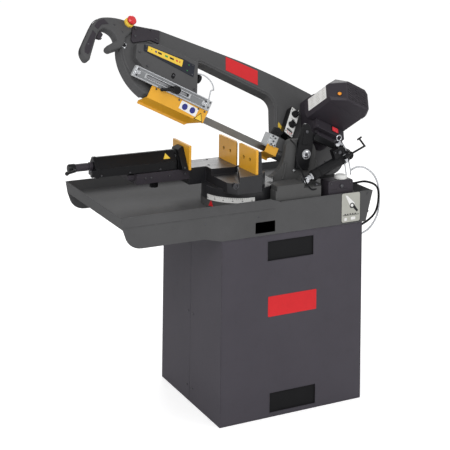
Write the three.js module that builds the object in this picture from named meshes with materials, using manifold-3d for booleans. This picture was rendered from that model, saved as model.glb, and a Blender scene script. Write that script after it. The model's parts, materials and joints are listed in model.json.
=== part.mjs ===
// Mitring band saw: a swivelling, pull-down saw head on a vise bed, chip tray and sheet-metal cabinet.
// Millimetres. +Z is up, +X runs to the right along the cabinet's front and +Y runs to the back.
// The origin is on the floor, under the middle of the cabinet.
import * as THREE from 'three';
import { mergeVertices } from 'three/addons/utils/BufferGeometryUtils.js';
import Module from 'manifold-3d';

const wasm = await Module();
wasm.setup();

// ---------------------------------------------------------------- driving dimensions
const GAP = 0.4; // between pieces that rest on or turn beside each other
const CABINET = { width: 645, depth: 540, height: 719, sheet: 3 };
const TRAY = { left: -735, right: 374, front: -270, back: 330, floor: 812, sheet: 3 };
const RIM = { high: 857, low: 843 }; // tray rim heights: at the left, and beside the pump
const BED_TOP = 955; // height of the vise bed above the floor
const SWIVEL = { x: -163.5, y: -93 }; // mitre axis: on the fixed jaw faces and in the blade's plane
const TURNTABLE_R = 146;
const PIVOT = { x: 109.5, z: 995, r: 20 }; // the shaft that the saw head tilts about
const HEAD_RAISED = 26.5; // degrees between the blade and the bed in the rest pose
const WHEEL_PLANE = 49; // degrees that the band wheels' plane stands up from the bed
const WHEEL = { radius: 149.2, halfWidth: 14, centreB: 150, idlerA: -432, driveA: 390 };
const BLADE = { width: 27, thick: 0.9, droop: 5 }; // droop: how far its middle sinks below the bed
const PIVOT_A = PIVOT.x - SWIVEL.x + 10; // along the blade, from the jaw faces to the pivot
const PIVOT_N = PIVOT.z - (BED_TOP - BLADE.droop); // square to the blade, from its middle to the pivot
const JAW = { height: 97, thick: 10, rearLength: 159, frontLength: 145, slotHalf: 10 };
const VISE = { y: 5, z: 993, left: -752.5, right: -407, face: -360.5 }; // ram axis and housing ends
const CYLINDER = { y: -235, pinX: 72.5, pinZ: 909, length: 220, angle: 21.5, radius: 21 };
const VALVE = { top: 54, crankY: -26, crankZ: 12 }; // on the cylinder, from its axis

// ---------------------------------------------------------------- materials
function paint(colour, roughness, metalness) {
  return new THREE.MeshStandardMaterial({ color: colour, roughness, metalness });
}
const bodyGrey = () => paint(0x4d4c4e, 0.55, 0.1);
const cabinetGrey = () => paint(0x4f4b53, 0.6, 0.1);
const castGrey = () => paint(0x545452, 0.7, 0.1);
const black = () => paint(0x17171a, 0.45, 0.1);
const darkPlum = () => paint(0x2e2a31, 0.5, 0.1);
const amber = () => paint(0xdb9a1f, 0.45, 0.05);
const steel = () => paint(0xa9abad, 0.35, 0.9);
const aluminium = () => paint(0xc4c6c8, 0.4, 0.85);
const chrome = () => paint(0xd8dade, 0.12, 1);
const red = () => paint(0xc8202a, 0.4, 0);
const rubberBlack = () => paint(0x101012, 0.85, 0);
const cream = () => paint(0xe9e2c2, 0.5, 0);

// ---------------------------------------------------------------- solids
function toSolid(geometry) {
  const plain = geometry.clone();
  plain.deleteAttribute('normal');
  plain.deleteAttribute('uv');
  const merged = mergeVertices(plain, 1e-4);
  return new wasm.Manifold(
    new wasm.Mesh({
      numProp: 3,
      vertProperties: Float32Array.from(merged.attributes.position.array),
      triVerts: Uint32Array.from(merged.index.array),
    }),
  );
}

function toGeometry(solid) {
  const mesh = solid.getMesh();
  const geometry = new THREE.BufferGeometry();
  geometry.setAttribute('position', new THREE.BufferAttribute(mesh.vertProperties, 3));
  geometry.setIndex(new THREE.BufferAttribute(mesh.triVerts, 1));
  geometry.computeVertexNormals();
  return geometry;
}

function join(first, ...others) {
  return toGeometry(others.reduce((sum, next) => sum.add(toSolid(next)), toSolid(first)));
}

function cut(first, ...tools) {
  return toGeometry(tools.reduce((rest, tool) => rest.subtract(toSolid(tool)), toSolid(first)));
}

function common(first, second) {
  return toGeometry(toSolid(first).intersect(toSolid(second)));
}

// The tightest convex solid around the given ones.
function wrap(...geometries) {
  return toGeometry(wasm.Manifold.hull(geometries.map(toSolid)));
}

function block(x0, x1, y0, y1, z0, z1) {
  const geometry = new THREE.BoxGeometry(x1 - x0, y1 - y0, z1 - z0);
  return geometry.translate((x0 + x1) / 2, (y0 + y1) / 2, (z0 + z1) / 2);
}

// A round bar from one point to another; its end radii may differ.
function bar(from, to, radius, segments = 24, endRadius = radius) {
  const start = new THREE.Vector3(...from);
  const along = new THREE.Vector3(...to).sub(start);
  const geometry = new THREE.CylinderGeometry(endRadius, radius, along.length(), segments);
  const up = new THREE.Vector3(0, 1, 0);
  const turn = new THREE.Quaternion().setFromUnitVectors(up, along.clone().normalize());
  geometry.applyQuaternion(turn);
  return geometry.translate(...start.addScaledVector(along, 0.5));
}

function outline(points) {
  return new THREE.Shape(points.map(([x, y]) => new THREE.Vector2(x, y)));
}

// A flat shape in XY made solid from z0 to z1, with an optional bevel inside that height.
function slab(shape, z0, z1, bevel = 0, curveSegments = 12) {
  const geometry = new THREE.ExtrudeGeometry(shape, {
    depth: z1 - z0 - 2 * bevel,
    bevelEnabled: bevel > 0,
    bevelThickness: bevel,
    bevelSize: bevel,
    bevelOffset: -bevel,
    bevelSegments: 2,
    curveSegments,
  });
  return geometry.translate(0, 0, z0 + bevel);
}

// The same slab drawn in XZ and running along Y, from y0 to y1.
function slabAlongY(shape, y0, y1, bevel = 0, curveSegments = 12) {
  return slab(shape, -y1, -y0, bevel, curveSegments).rotateX(Math.PI / 2);
}

// The same slab drawn in YZ and running along X, from x0 to x1.
function slabAlongX(shape, x0, x1, bevel = 0, curveSegments = 12) {
  return slab(shape, x0, x1, bevel, curveSegments).rotateX(Math.PI / 2).rotateZ(Math.PI / 2);
}

function circle(x, y, radius) {
  return new THREE.Shape().absarc(x, y, radius, 0, 2 * Math.PI);
}

function roundedRectangle(x0, x1, y0, y1, radius) {
  const shape = new THREE.Shape();
  shape.absarc(x1 - radius, y0 + radius, radius, -Math.PI / 2, 0);
  shape.absarc(x1 - radius, y1 - radius, radius, 0, Math.PI / 2);
  shape.absarc(x0 + radius, y1 - radius, radius, Math.PI / 2, Math.PI);
  shape.absarc(x0 + radius, y0 + radius, radius, Math.PI, 1.5 * Math.PI);
  return shape;
}

// A turned piece: its profile is [radius, height] pairs, and its axis is +Z.
function turned(profile, segments = 32) {
  const points = profile.map(([radius, height]) => new THREE.Vector2(radius, height));
  return new THREE.LatheGeometry(points, segments).rotateX(Math.PI / 2);
}

// A round tube along a smooth curve through the points.
function hose(points, radius, steps, sides = 8) {
  const curve = new THREE.CatmullRomCurve3(points.map((p) => new THREE.Vector3(...p)));
  return new THREE.ExtrudeGeometry(circle(0, 0, radius), {
    steps,
    curveSegments: sides / 2,
    extrudePath: curve,
  });
}

function named(name, geometry, material) {
  const mesh = new THREE.Mesh(geometry, material);
  mesh.name = name;
  return mesh;
}

const rad = THREE.MathUtils.degToRad;

// ---------------------------------------------------------------- cabinet
// One half of the cabinet: a U of sheet with its flanges; side -1 is the front half and +1 the back half.
function cabinetHalf(side) {
  const { width, depth, height, sheet } = CABINET;
  const half = width / 2;
  const near = side < 0 ? -depth / 2 : GAP / 2 + 0.6;
  const far = side < 0 ? -GAP / 2 - 0.6 : depth / 2;
  const outer = block(-half, half, near, far, 0, height);
  const room = side < 0
    ? block(-half + sheet, half - sheet, near + sheet, far + 1, -1, height + 1)
    : block(-half + sheet, half - sheet, near - 1, far - sheet, -1, height + 1);
  if (side > 0) {
    return cut(outer, room);
  }
  const slotWidth = 212;
  const upperSlot = block(-120, -120 + slotWidth, near - 1, near + sheet + 1, 616, 694);
  const lowerSlot = block(-104, -104 + slotWidth, near - 1, near + sheet + 1, 17, 95);
  return cut(outer, room, upperSlot, lowerSlot);
}

function cabinetFloor() {
  const { width, depth, sheet } = CABINET;
  const inset = sheet + GAP;
  const pan = block(-width / 2 + inset, width / 2 - inset, -depth / 2 + inset, depth / 2 - inset, 0, 16);
  const room = block(-width / 2 + 8, width / 2 - 8, -depth / 2 + 8, depth / 2 - 8, 4, 17);
  return cut(pan, room);
}

function coolantTank() {
  const outer = block(-230, 210, -170, 190, 4 + GAP, 170);
  const room = block(-226, 206, -166, 186, 9, 171);
  return cut(outer, room);
}

// ---------------------------------------------------------------- chip tray and frame
// The skirt's outline on the front and back: rounded where it overhangs on the left, slanted on the right.
function skirtShape() {
  const { left, right, floor } = TRAY;
  const shape = new THREE.Shape();
  shape.moveTo(left, floor);
  shape.lineTo(left + 14, 774);
  shape.quadraticCurveTo(left + 34, 738, left + 78, 737);
  shape.lineTo(-400, 737);
  shape.lineTo(-CABINET.width / 2, CABINET.height + GAP);
  shape.lineTo(right - 34, CABINET.height + GAP);
  shape.lineTo(right, RIM.low);
  shape.lineTo(-60, RIM.low);
  shape.lineTo(-104, RIM.high);
  shape.lineTo(left - 8, RIM.high);
  return shape;
}

function chipTray() {
  const { left, right, front, back, floor, sheet } = TRAY;
  const frontSkirt = slabAlongY(skirtShape(), front, front + sheet, 0, 6);
  const backSkirt = slabAlongY(skirtShape(), back - sheet, back, 0, 6);
  const pan = block(left, right - 8, front + 1, back - 1, floor, floor + sheet);
  const leftWall = slabAlongY(
    outline([[left, floor], [left + sheet, floor], [left - 8 + sheet, RIM.high], [left - 8, RIM.high]]),
    front + 1,
    back - 1,
  );
  const rightWall = slabAlongY(
    outline([
      [right - 34 - sheet, 722],
      [right - 34, 722],
      [right - 1, RIM.low],
      [right - 1 - sheet, RIM.low],
    ]),
    front + 1,
    back - 1,
  );
  const cableHole = block(-175, -86, front - 1, front + sheet + 1, 730, 774);
  const screwHoles = [-394, -164].map((x) => {
    return bar([x, front - 1, 796], [x, front + sheet + 1, 796], 4, 12);
  });
  const drain = bar([-40, 120, floor - 1], [-40, 120, floor + sheet + 1], 22, 24);
  return cut(join(pan, frontSkirt, backSkirt, leftWall, rightWall), cableHole, ...screwHoles, drain);
}

// The welded frame that carries the tray on the cabinet.
function baseFrame() {
  const inset = TRAY.sheet + GAP;
  const half = CABINET.width / 2;
  const low = CABINET.height + GAP;
  const high = TRAY.floor - GAP;
  const outer = block(-half + 4, half - 8, TRAY.front + inset, TRAY.back - inset, low, high);
  const room = block(-half + 8, half - 12, TRAY.front + 8, TRAY.back - 8, low - 1, high + 1);
  const brace = block(-half + 5, half - 9, -20, 60, TRAY.floor - 14, TRAY.floor - GAP);
  const cableHole = block(-179, -82, TRAY.front + 2, TRAY.front + 9, 726, 778);
  return cut(join(cut(outer, room), brace), cableHole);
}

// ---------------------------------------------------------------- vise bed
// A wedge of a circle about the mitre axis, from one angle to another.
function fan(radius, fromDeg, toDeg, z0, z1, innerRadius = 0) {
  const shape = new THREE.Shape();
  shape.absarc(0, 0, radius, rad(fromDeg), rad(toDeg), false);
  if (innerRadius > 0) {
    shape.absarc(0, 0, innerRadius, rad(toDeg), rad(fromDeg), true);
  } else {
    shape.lineTo(0, 0);
  }
  return slab(shape, z0, z1, 0, 8).translate(SWIVEL.x, SWIVEL.y, 0);
}

// The bed casting: a boss through the swivel ring, a round body with the scale, and the flat bed on top.
function bedCasting() {
  const { x, y } = SWIVEL;
  const boss = bar([x, y, TRAY.floor + TRAY.sheet + GAP], [x, y, 850], 90, 48);
  const drum = bar([x, y, 845], [x, y, 897], TURNTABLE_R, 64);
  const shoulderPlan = outline([
    [-190, 57],
    [-190, 178],
    [36, 178],
    [60, 100],
    [60, -120],
    [24, -162],
    [-84, -162],
    [-114, -128],
    [-114, 57],
  ]);
  const shoulder = slab(shoulderPlan, 888, BED_TOP).translate(x, y, 0);
  const backRib = jawRib(JAW.slotHalf + 6, JAW.slotHalf + JAW.rearLength);
  const frontRib = jawRib(-JAW.slotHalf - JAW.frontLength, -JAW.slotHalf);
  const sweepFloor = BED_TOP - BLADE.droop - BLADE.width / 2 - 6;
  const leftFan = fan(300, 176, 245, sweepFloor, BED_TOP + 110);
  const rightFan = fan(300, -4, 65, sweepFloor, BED_TOP + 110);
  const guardSweep = fan(300, -24, 70, 899, BED_TOP + 110, 94);
  const centre = bar([x, y, sweepFloor], [x, y, BED_TOP + 110], 9, 24);
  const frontSocket = bar([x - 92, y - 170, 922], [x - 92, y - 140, 922], 9, 24);
  const body = join(boss, drum, shoulder, backRib, frontRib);
  return cut(body, leftFan, rightFan, guardSweep, centre, frontSocket);
}

// The rib behind one half of the fixed jaw, from dy0 to dy1 along Y.
function jawRib(dy0, dy1) {
  const back = JAW.thick + GAP;
  const shape = outline([
    [SWIVEL.x + back, BED_TOP - 40],
    [SWIVEL.x + back + 30, BED_TOP - 40],
    [SWIVEL.x + back + 20, BED_TOP],
    [SWIVEL.x + back + 12, BED_TOP + JAW.height - 8],
    [SWIVEL.x + back, BED_TOP + JAW.height - 8],
  ]);
  return slabAlongY(shape, SWIVEL.y + dy0, SWIVEL.y + dy1);
}

// A hardened jaw plate with two countersunk holes, its face at x and running from y0 to y1.
function jawPlate(x, y0, y1, relief = 0) {
  const thick = JAW.thick;
  const plan = outline([[x, y0], [x + thick, y0 + relief], [x + thick, y1], [x, y1]]);
  const plate = slab(plan, BED_TOP + GAP, BED_TOP + JAW.height);
  const holes = [0.36, 0.72].map((share) => {
    const holeY = y0 + share * (y1 - y0);
    const holeZ = BED_TOP + 0.52 * JAW.height;
    return bar([x - 1, holeY, holeZ], [x + thick + 1, holeY, holeZ], 5.5, 16);
  });
  return cut(plate, ...holes);
}

function degreeScale() {
  const shape = new THREE.Shape();
  shape.absarc(0, 0, TURNTABLE_R + 2, rad(188), rad(270), false);
  shape.absarc(0, 0, TURNTABLE_R + GAP, rad(270), rad(188), true);
  return slab(shape, 845.6, 866, 0, 18).translate(SWIVEL.x, SWIVEL.y, 0);
}

// ---------------------------------------------------------------- vise
// The fixed slide under the vise, with its end bracket and the foot that meets the bed.
function viseRail() {
  const { y, left } = VISE;
  const rail = block(left + 170, SWIVEL.x - 190 - GAP, y - 43, y + 43, 912, 953);
  const bracket = block(left + 138, left + 172, y - 30, y + 30, 930, 949);
  const slot = block(left + 200, SWIVEL.x - 240, y - 9, y + 9, 911, 954);
  return cut(join(rail, bracket), slot);
}

// The section of the vise housing: upright sides and a roof that clears the lowered saw head.
function housingSection(grow) {
  const { y } = VISE;
  return outline([
    [y - 40 - grow, 953 + GAP - Math.min(grow, 0)],
    [y + 40 + grow, 953 + GAP - Math.min(grow, 0)],
    [y + 40 + grow, 989 + grow / 2],
    [y + 8, 1029 + grow],
    [y - 4, 1029 + grow],
    [y - 40 - grow, 989 + grow / 2],
  ]);
}

function viseHousing() {
  const { left, right, y, z } = VISE;
  const tube = slabAlongX(housingSection(-2), left + 12, right);
  const flange = slabAlongX(housingSection(0), left, left + 14);
  const lug = block(left - 16, left + 2, y - 40, y - 22, 958, 984);
  const room = block(left + 16, right + 1, y - 18.5, y + 18.5, z - 22.5, z + 15.5);
  const screwHole = bar([left - 20, y, z], [left + 20, y, z], 12, 24);
  return cut(join(tube, flange, lug), room, screwHole);
}

// The square ram, bored for the screw; the jaw bracket bolts on its right end.
function viseRam() {
  const { left, right, y, z } = VISE;
  const body = block(left + 30, right + 6, y - 18, y + 18, z - 22, z + 15);
  const bore = bar([left + 29, y, z], [right - 12, y, z], 12, 24);
  return cut(body, bore);
}

function viseScrew() {
  const { left, y, z } = VISE;
  const shaft = bar([left - 20, y, z], [left + 290, y, z], 11.5, 24);
  const collar = bar([left - 14, y, z], [left - 2, y, z], 17, 24);
  const knob = bar([left - 98, y, z], [left - 20, y, z], 15, 24);
  return cut(join(shaft, collar, knob), bar([left - 86, y - 20, z], [left - 86, y + 20, z], 5.4, 16));
}

function viseHandle() {
  const { left, y, z } = VISE;
  const pin = bar([left - 86, y - 46, z], [left - 86, y + 16 + GAP, z], 5, 16);
  const grip = bar([left - 86, y - 46, z], [left - 124, y - 56, z - 4], 5, 16);
  const ball = new THREE.SphereGeometry(8, 16, 10).translate(left - 124, y - 56, z - 4);
  return join(pin, grip, ball);
}

function jawCarrier() {
  const { right, face, y } = VISE;
  const back = face - JAW.thick - GAP;
  const start = right + 10;
  const side = outline([
    [start, BED_TOP + 2],
    [back, BED_TOP + 2],
    [back, BED_TOP + 84],
    [back - 8, BED_TOP + 84],
    [start, 1030],
  ]);
  const frontView = outline([
    [y - 73, BED_TOP + 1],
    [y + 62, BED_TOP + 1],
    [y + 26, BED_TOP + 85],
    [y - 20, BED_TOP + 85],
  ]);
  const plate = common(slabAlongY(side, y - 74, y + 63), slabAlongX(frontView, start - 1, back + 1));
  const neck = slabAlongX(housingSection(-3), right + 6 + GAP, start + 2);
  return join(plate, neck);
}

function railClamp() {
  const { y } = VISE;
  const x = VISE.left + 263;
  const nut = turned([[0, 0], [17, 0], [17, 16], [13, 22], [0, 22]], 6).translate(x, y, 885);
  const stud = bar([x, y, 890], [x, y, 950], 8, 20);
  const lever = bar([x, y, 893], [x + 12, y + 42, 881], 5, 16);
  return join(nut, stud, lever, new THREE.SphereGeometry(8, 16, 10).translate(x + 12, y + 42, 881));
}

// ---------------------------------------------------------------- swivel arm and column
function swivelArm() {
  const { x, y } = SWIVEL;
  const low = TRAY.floor + TRAY.sheet + GAP;
  const ring = bar([x, y, low], [x, y, 845 - GAP], TURNTABLE_R + 2, 64);
  const arm = block(x + 60, x + 315, y - 165, y + 113, low, 843);
  const bore = bar([x, y, low - 1], [x, y, 846], 90 + 0.5, 48);
  return cut(common(join(ring, arm), swingRoom()), bore);
}

function mitrePointer() {
  const { x, y } = SWIVEL;
  const shape = outline([[0, 0], [12, -22], [-12, -22]]);
  const wedge = slab(shape, 0, 3).rotateX(Math.PI / 2).translate(0, -TURNTABLE_R - 2.4, 845);
  return wedge.rotateZ(rad(-72)).translate(x, y, 0);
}

function mitreLock() {
  const { x, y } = SWIVEL;
  const end = x + 315 + GAP;
  const hub = bar([end, y - 77, 830], [end + 26, y - 77, 830], 12, 24);
  const lever = bar([end + 19, y - 77, 830], [end + 19, y - 9, 832], 5, 16);
  return join(hub, lever, new THREE.SphereGeometry(9, 16, 10).translate(end + 19, y - 9, 832));
}

// The cast column: a broad foot on the arm and an upright that holds the tilt shaft.
function pivotColumn() {
  const { x, y } = SWIVEL;
  const foot = block(x + 84, x + 313, y - 167, y - 38, 843 + GAP, 884);
  const backFoot = block(x + 84, x + 262, y - 60, y + 110, 843 + GAP, 880);
  const side = new THREE.Shape();
  side.moveTo(x + 86, 880);
  side.lineTo(x + 86, 905);
  side.quadraticCurveTo(x + 160, 915, x + 182, 985);
  side.lineTo(x + 190, 1035);
  side.quadraticCurveTo(x + 196, 1056, x + 222, 1056);
  side.absarc(PIVOT.x, PIVOT.z, 58, rad(78), rad(-20), true);
  side.lineTo(x + 325, 880);
  const upright = slabAlongY(side, y - 62, y - 38, 0, 8);
  const frontBoss = block(x + 90, x + 215, y - 167, y - 90, 880, 903);
  const { pinX, pinZ } = CYLINDER;
  const lug = slabAlongY(
    outline([
      [pinX - 26, 882],
      [pinX + 18, 882],
      [pinX + 14, pinZ + 8],
      [pinX - 12, pinZ + 12],
    ]),
    CYLINDER.y + 12,
    CYLINDER.y + 30,
  );
  const pin = bar([pinX, CYLINDER.y - 14, pinZ], [pinX, CYLINDER.y + 14, pinZ], 5.9, 20);
  const solid = join(foot, backFoot, upright, frontBoss, lug, pin);
  const bore = bar([PIVOT.x, y - 120, PIVOT.z], [PIVOT.x, y, PIVOT.z], PIVOT.r + 0.05, 48);
  const tableRoom = bar([x, y, 840], [x, y, 912], TURNTABLE_R + 3, 64);
  return cut(common(solid, swingRoom()), bore, tableRoom);
}

// The round space that the swivelling foot keeps to, clear of the pump box.
function swingRoom() {
  return bar([SWIVEL.x, SWIVEL.y, 700], [SWIVEL.x, SWIVEL.y, 1200], 338, 96);
}

function pivotShaft() {
  const { y } = SWIVEL;
  const shaft = bar([PIVOT.x, y - 84, PIVOT.z], [PIVOT.x, y - 8, PIVOT.z], PIVOT.r, 48);
  return shaft;
}

// ---------------------------------------------------------------- saw head, in the band wheels' plane
// x runs along the blade, y up the leaning wheels' plane and z out of the head's front.
const BOW = { front: 26, wall: 8, back: -15, beamLow: 250, throatLeft: -240, throatRight: 173 };

function bowOutline() {
  const { idlerA, driveA, centreB, radius } = WHEEL;
  const rim = radius + 25;
  const fillet = 42;
  const { beamLow, throatLeft, throatRight } = BOW;
  const shape = new THREE.Shape();
  shape.moveTo(idlerA - 40, centreB - rim);
  shape.lineTo(throatLeft - 20, centreB - rim);
  shape.lineTo(throatLeft, centreB - rim + 20);
  shape.lineTo(throatLeft, beamLow - fillet);
  shape.absarc(throatLeft + fillet, beamLow - fillet, fillet, Math.PI, Math.PI / 2, true);
  shape.absarc(throatRight - fillet, beamLow - fillet, fillet, Math.PI / 2, 0, true);
  shape.lineTo(throatRight, centreB - rim + 20);
  shape.lineTo(throatRight + 20, centreB - rim);
  shape.absarc(driveA, centreB, rim, -Math.PI / 2, rad(38), false);
  shape.quadraticCurveTo(driveA + 70, 366, driveA - 10, 372);
  shape.quadraticCurveTo(170, 378, -21, 359);
  shape.lineTo(-435, 309);
  shape.lineTo(-584, 262);
  shape.quadraticCurveTo(-604, 240, idlerA - rim, centreB);
  shape.absellipse(idlerA, centreB, rim, rim + 12, Math.PI, rad(255), false);
  return shape;
}

function wheelPocket(centreA) {
  return slab(circle(centreA, WHEEL.centreB, WHEEL.radius + 15), BOW.back - 1, BOW.front - BOW.wall, 0, 20);
}

function bowCasting() {
  const { front, wall, back } = BOW;
  const { idlerA, driveA, centreB } = WHEEL;
  const body = slab(bowOutline(), back, front, 3, 14);
  const bulgeShape = outline([[-545, 96], [-500, 62], [-244, 62], [-244, 222], [-440, 216], [-545, 166]]);
  const bulge = slab(bulgeShape, front - 4, 50, 3);
  const returnChannel = block(idlerA, driveA, 274, 326, back - 1, front - wall);
  const leftPath = block(idlerA, BOW.throatLeft + 1, -15, 26, back - 1, 16);
  const rightPath = block(BOW.throatRight - 30, driveA, -15, 26, back - 20, 16);
  const pivotBore = bar([PIVOT_A, PIVOT_N, 7], [PIVOT_A, PIVOT_N, 60], PIVOT.r + 0.05, 48);
  pivotBore.rotateX(rad(90 - WHEEL_PLANE));
  const tensionSlot = block(-486, -378, centreB - 21, centreB + 21, 0, 46);
  const screwHole = bar([-380, centreB, 36], [-235, centreB, 36], 7.6, 24);
  const shaftHole = bar([driveA, centreB, 0], [driveA, centreB, 60], 26, 32);
  const solid = join(body, bulge, ...bowSeats());
  return cut(
    solid,
    wheelPocket(idlerA),
    wheelPocket(driveA),
    returnChannel,
    leftPath,
    rightPath,
    tensionSlot,
    screwHole,
    shaftHole,
    pivotBore,
  );
}

// A band wheel: rim, web and hub, turned about z with its bore open.
function bandWheel(bore) {
  const { radius, halfWidth } = WHEEL;
  return turned(
    [
      [bore, -halfWidth],
      [32, -halfWidth],
      [36, -5],
      [radius - 16, -5],
      [radius - 12, -halfWidth],
      [radius, -halfWidth],
      [radius, halfWidth],
      [radius - 12, halfWidth],
      [radius - 16, 5],
      [36, 5],
      [32, halfWidth],
      [bore, halfWidth],
      [bore, -halfWidth],
    ],
    48,
  );
}

function bladeCover() {
  const { idlerA, driveA, centreB, radius } = WHEEL;
  const rim = radius + 21;
  const top = BOW.back - GAP;
  const shape = new THREE.Shape();
  shape.absarc(idlerA, centreB, rim, Math.PI / 2, 1.5 * Math.PI, false);
  shape.lineTo(-250, centreB - rim);
  shape.lineTo(-250, 262);
  shape.lineTo(182, 262);
  shape.lineTo(182, centreB - rim);
  shape.absarc(driveA, centreB, rim, -Math.PI / 2, Math.PI / 2, false);
  shape.lineTo(driveA, 336);
  shape.lineTo(-30, 336);
  return slab(shape, top - 2.5, top, 0, 16);
}

// ---------------------------------------------------------------- saw head, other pieces
// The blade: a ribbon around both wheels, leaning with them, and turned upright between the guides.
function bladeLoop() {
  const { idlerA, driveA, centreB, radius } = WHEEL;
  const middle = radius + 0.35 + BLADE.thick / 2;
  const lean = rad(90 - WHEEL_PLANE);
  const guideLeft = -232;
  const guideRight = 172;
  const stations = [];
  const upright = (a, share) => {
    const turn = share * (Math.PI / 2 - lean);
    stations.push({ a, b: centreB - middle, width: [0, Math.sin(turn), Math.cos(turn)] });
  };
  const arcSteps = 30;
  const twistSteps = 8;
  const wheelArc = (centreA, fromDeg) => {
    for (let i = 0; i <= arcSteps; i += 1) {
      const angle = rad(fromDeg + (180 * i) / arcSteps);
      const a = centreA + middle * Math.cos(angle);
      stations.push({ a, b: centreB + middle * Math.sin(angle), width: [0, 0, 1] });
    }
  };
  wheelArc(idlerA, 90);
  for (let i = 0; i <= twistSteps; i += 1) {
    upright(idlerA + 18 + ((guideLeft - idlerA - 18) * i) / twistSteps, i / twistSteps);
  }
  for (let i = 0; i < twistSteps; i += 1) {
    upright(guideRight + ((driveA - guideRight) * i) / twistSteps, 1 - i / twistSteps);
  }
  wheelArc(driveA, -90);
  return ribbon(stations);
}

// A closed ribbon of the blade's section through the stations.
function ribbon(stations) {
  const count = stations.length;
  const positions = [];
  const indices = [];
  stations.forEach((station, i) => {
    const before = stations[(i + count - 1) % count];
    const after = stations[(i + 1) % count];
    const along = new THREE.Vector3(after.a - before.a, after.b - before.b, 0).normalize();
    const wide = new THREE.Vector3(...station.width);
    const out = new THREE.Vector3().crossVectors(along, wide).normalize();
    const centre = new THREE.Vector3(station.a, station.b, 0);
    [[-1, -1], [1, -1], [1, 1], [-1, 1]].forEach(([w, t]) => {
      const corner = centre.clone();
      corner.addScaledVector(wide, (w * BLADE.width) / 2);
      corner.addScaledVector(out, (t * BLADE.thick) / 2);
      positions.push(...corner.toArray());
    });
  });
  for (let i = 0; i < count; i += 1) {
    const here = 4 * i;
    const next = 4 * ((i + 1) % count);
    for (let side = 0; side < 4; side += 1) {
      const other = (side + 1) % 4;
      indices.push(here + side, here + other, next + other, here + side, next + other, next + side);
    }
  }
  const geometry = new THREE.BufferGeometry();
  geometry.setAttribute('position', new THREE.Float32BufferAttribute(positions, 3));
  geometry.setIndex(indices);
  geometry.computeVertexNormals();
  return geometry;
}

function gearbox() {
  const { driveA, centreB } = WHEEL;
  const shape = new THREE.Shape();
  shape.moveTo(318, 170);
  shape.quadraticCurveTo(322, 112, driveA - 40, 96);
  shape.absarc(driveA, centreB, 66, rad(-120), 0, false);
  shape.lineTo(driveA + 66, centreB + 90);
  shape.absarc(driveA, centreB + 90, 66, 0, rad(90), false);
  shape.lineTo(336, centreB + 156);
  shape.lineTo(318, centreB + 138);
  const caseBody = slab(shape, BOW.front + GAP, 104, 4, 8);
  const bore = bar([driveA, centreB, BOW.front], [driveA, centreB, 70], 16.1, 64);
  const motorBore = bar([driveA, centreB + 72, 60], [driveA, centreB + 72, 106], 11, 24);
  return cut(caseBody, bore, motorBore);
}

function driveShaft() {
  const { driveA, centreB } = WHEEL;
  const shaft = bar([driveA, centreB, -14], [driveA, centreB, 68], 16, 32);
  const head = bar([driveA, centreB, 14 + GAP], [driveA, centreB, 22], 24, 32);
  return join(shaft, head);
}

const MOTOR = { a: 378, b: 216, halfWide: 102, halfHigh: 60, start: 104.4, end: 246 };
const SWITCH = { a: 419, b: 139, front: 128 }; // the rocker's middle and the face it sits in

// The motor's section: a rounded box with big corner flats.
function motorSection(shrink) {
  const { a, b } = MOTOR;
  const wide = MOTOR.halfWide - shrink;
  const high = MOTOR.halfHigh - shrink;
  const corner = 42;
  return outline([
    [a - wide + corner / 4, b - high],
    [a + wide - corner / 4, b - high],
    [a + wide, b - high + corner / 3],
    [a + wide, b + high - corner],
    [a + wide - corner, b + high],
    [a - wide + corner, b + high],
    [a - wide, b + high - corner],
    [a - wide, b - high + corner / 3],
  ]);
}

function motorBody() {
  const body = slab(motorSection(0), MOTOR.start, MOTOR.end - 4, 2);
  const shaftB = WHEEL.centreB + 72;
  const shaftRoom = bar([WHEEL.driveA, shaftB, 100], [WHEEL.driveA, shaftB, MOTOR.end], 11, 24);
  return cut(body, shaftRoom);
}

// The flat end of the fan cover, drawn in on the side that faces the operator.
function coverEnd(shrink) {
  const { a, b } = MOTOR;
  const [left, right, low, high] = [a - 46 + shrink, a + 76 - shrink, b - 60 + shrink, b + 38 - shrink];
  return outline([
    [left + 5, low],
    [right - 8, low],
    [right, low + 10],
    [right, high - 16],
    [right - 14, high],
    [left + 18, high],
    [left, high - 14],
    [left, low + 6],
  ]);
}

function motorFanCover() {
  const { a, b, end } = MOTOR;
  const shell = wrap(
    slab(motorSection(-1), end - 3.6, end + 14),
    slab(coverEnd(-3), end + 50, end + 54),
    slab(coverEnd(0), end + 54, end + 58),
  );
  const room = wrap(slab(motorSection(8), end - 20, end + 10), slab(coverEnd(10), end + 44, end + 48));
  const grille = [0, 1, 2, 3, 4, 5].map((row) => {
    const low = b - 48 + row * 13;
    return block(a - 34, a + 64, low, low + 6, end + 36, end + 80);
  });
  return cut(shell, room, ...grille);
}

function motorFan() {
  const x = WHEEL.driveA;
  const y = WHEEL.centreB + 72;
  const shaft = bar([x, y, 72], [x, y, MOTOR.end + 28], 10, 20);
  const hub = bar([x, y, MOTOR.end + 4], [x, y, MOTOR.end + 22], 20, 24);
  const blades = [0, 1, 2, 3, 4, 5].map((i) => {
    const blade = block(10, 40, -2, 2, MOTOR.end + 4, MOTOR.end + 20);
    return blade.rotateZ((i * Math.PI) / 3).translate(x, y, 0);
  });
  return join(shaft, hub, ...blades);
}

// The box with the main switch, under the motor.
function terminalBox() {
  const { a, b, front } = SWITCH;
  const top = MOTOR.b - MOTOR.halfHigh - GAP;
  const box = slab(roundedRectangle(a - 102, a + 51, top - 42, top, 3), MOTOR.start + GAP, front, 2, 4);
  const switchRoom = block(a - 18, a + 18, b - 11, b + 11, front - 8, front + 1);
  return cut(box, switchRoom);
}

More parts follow.
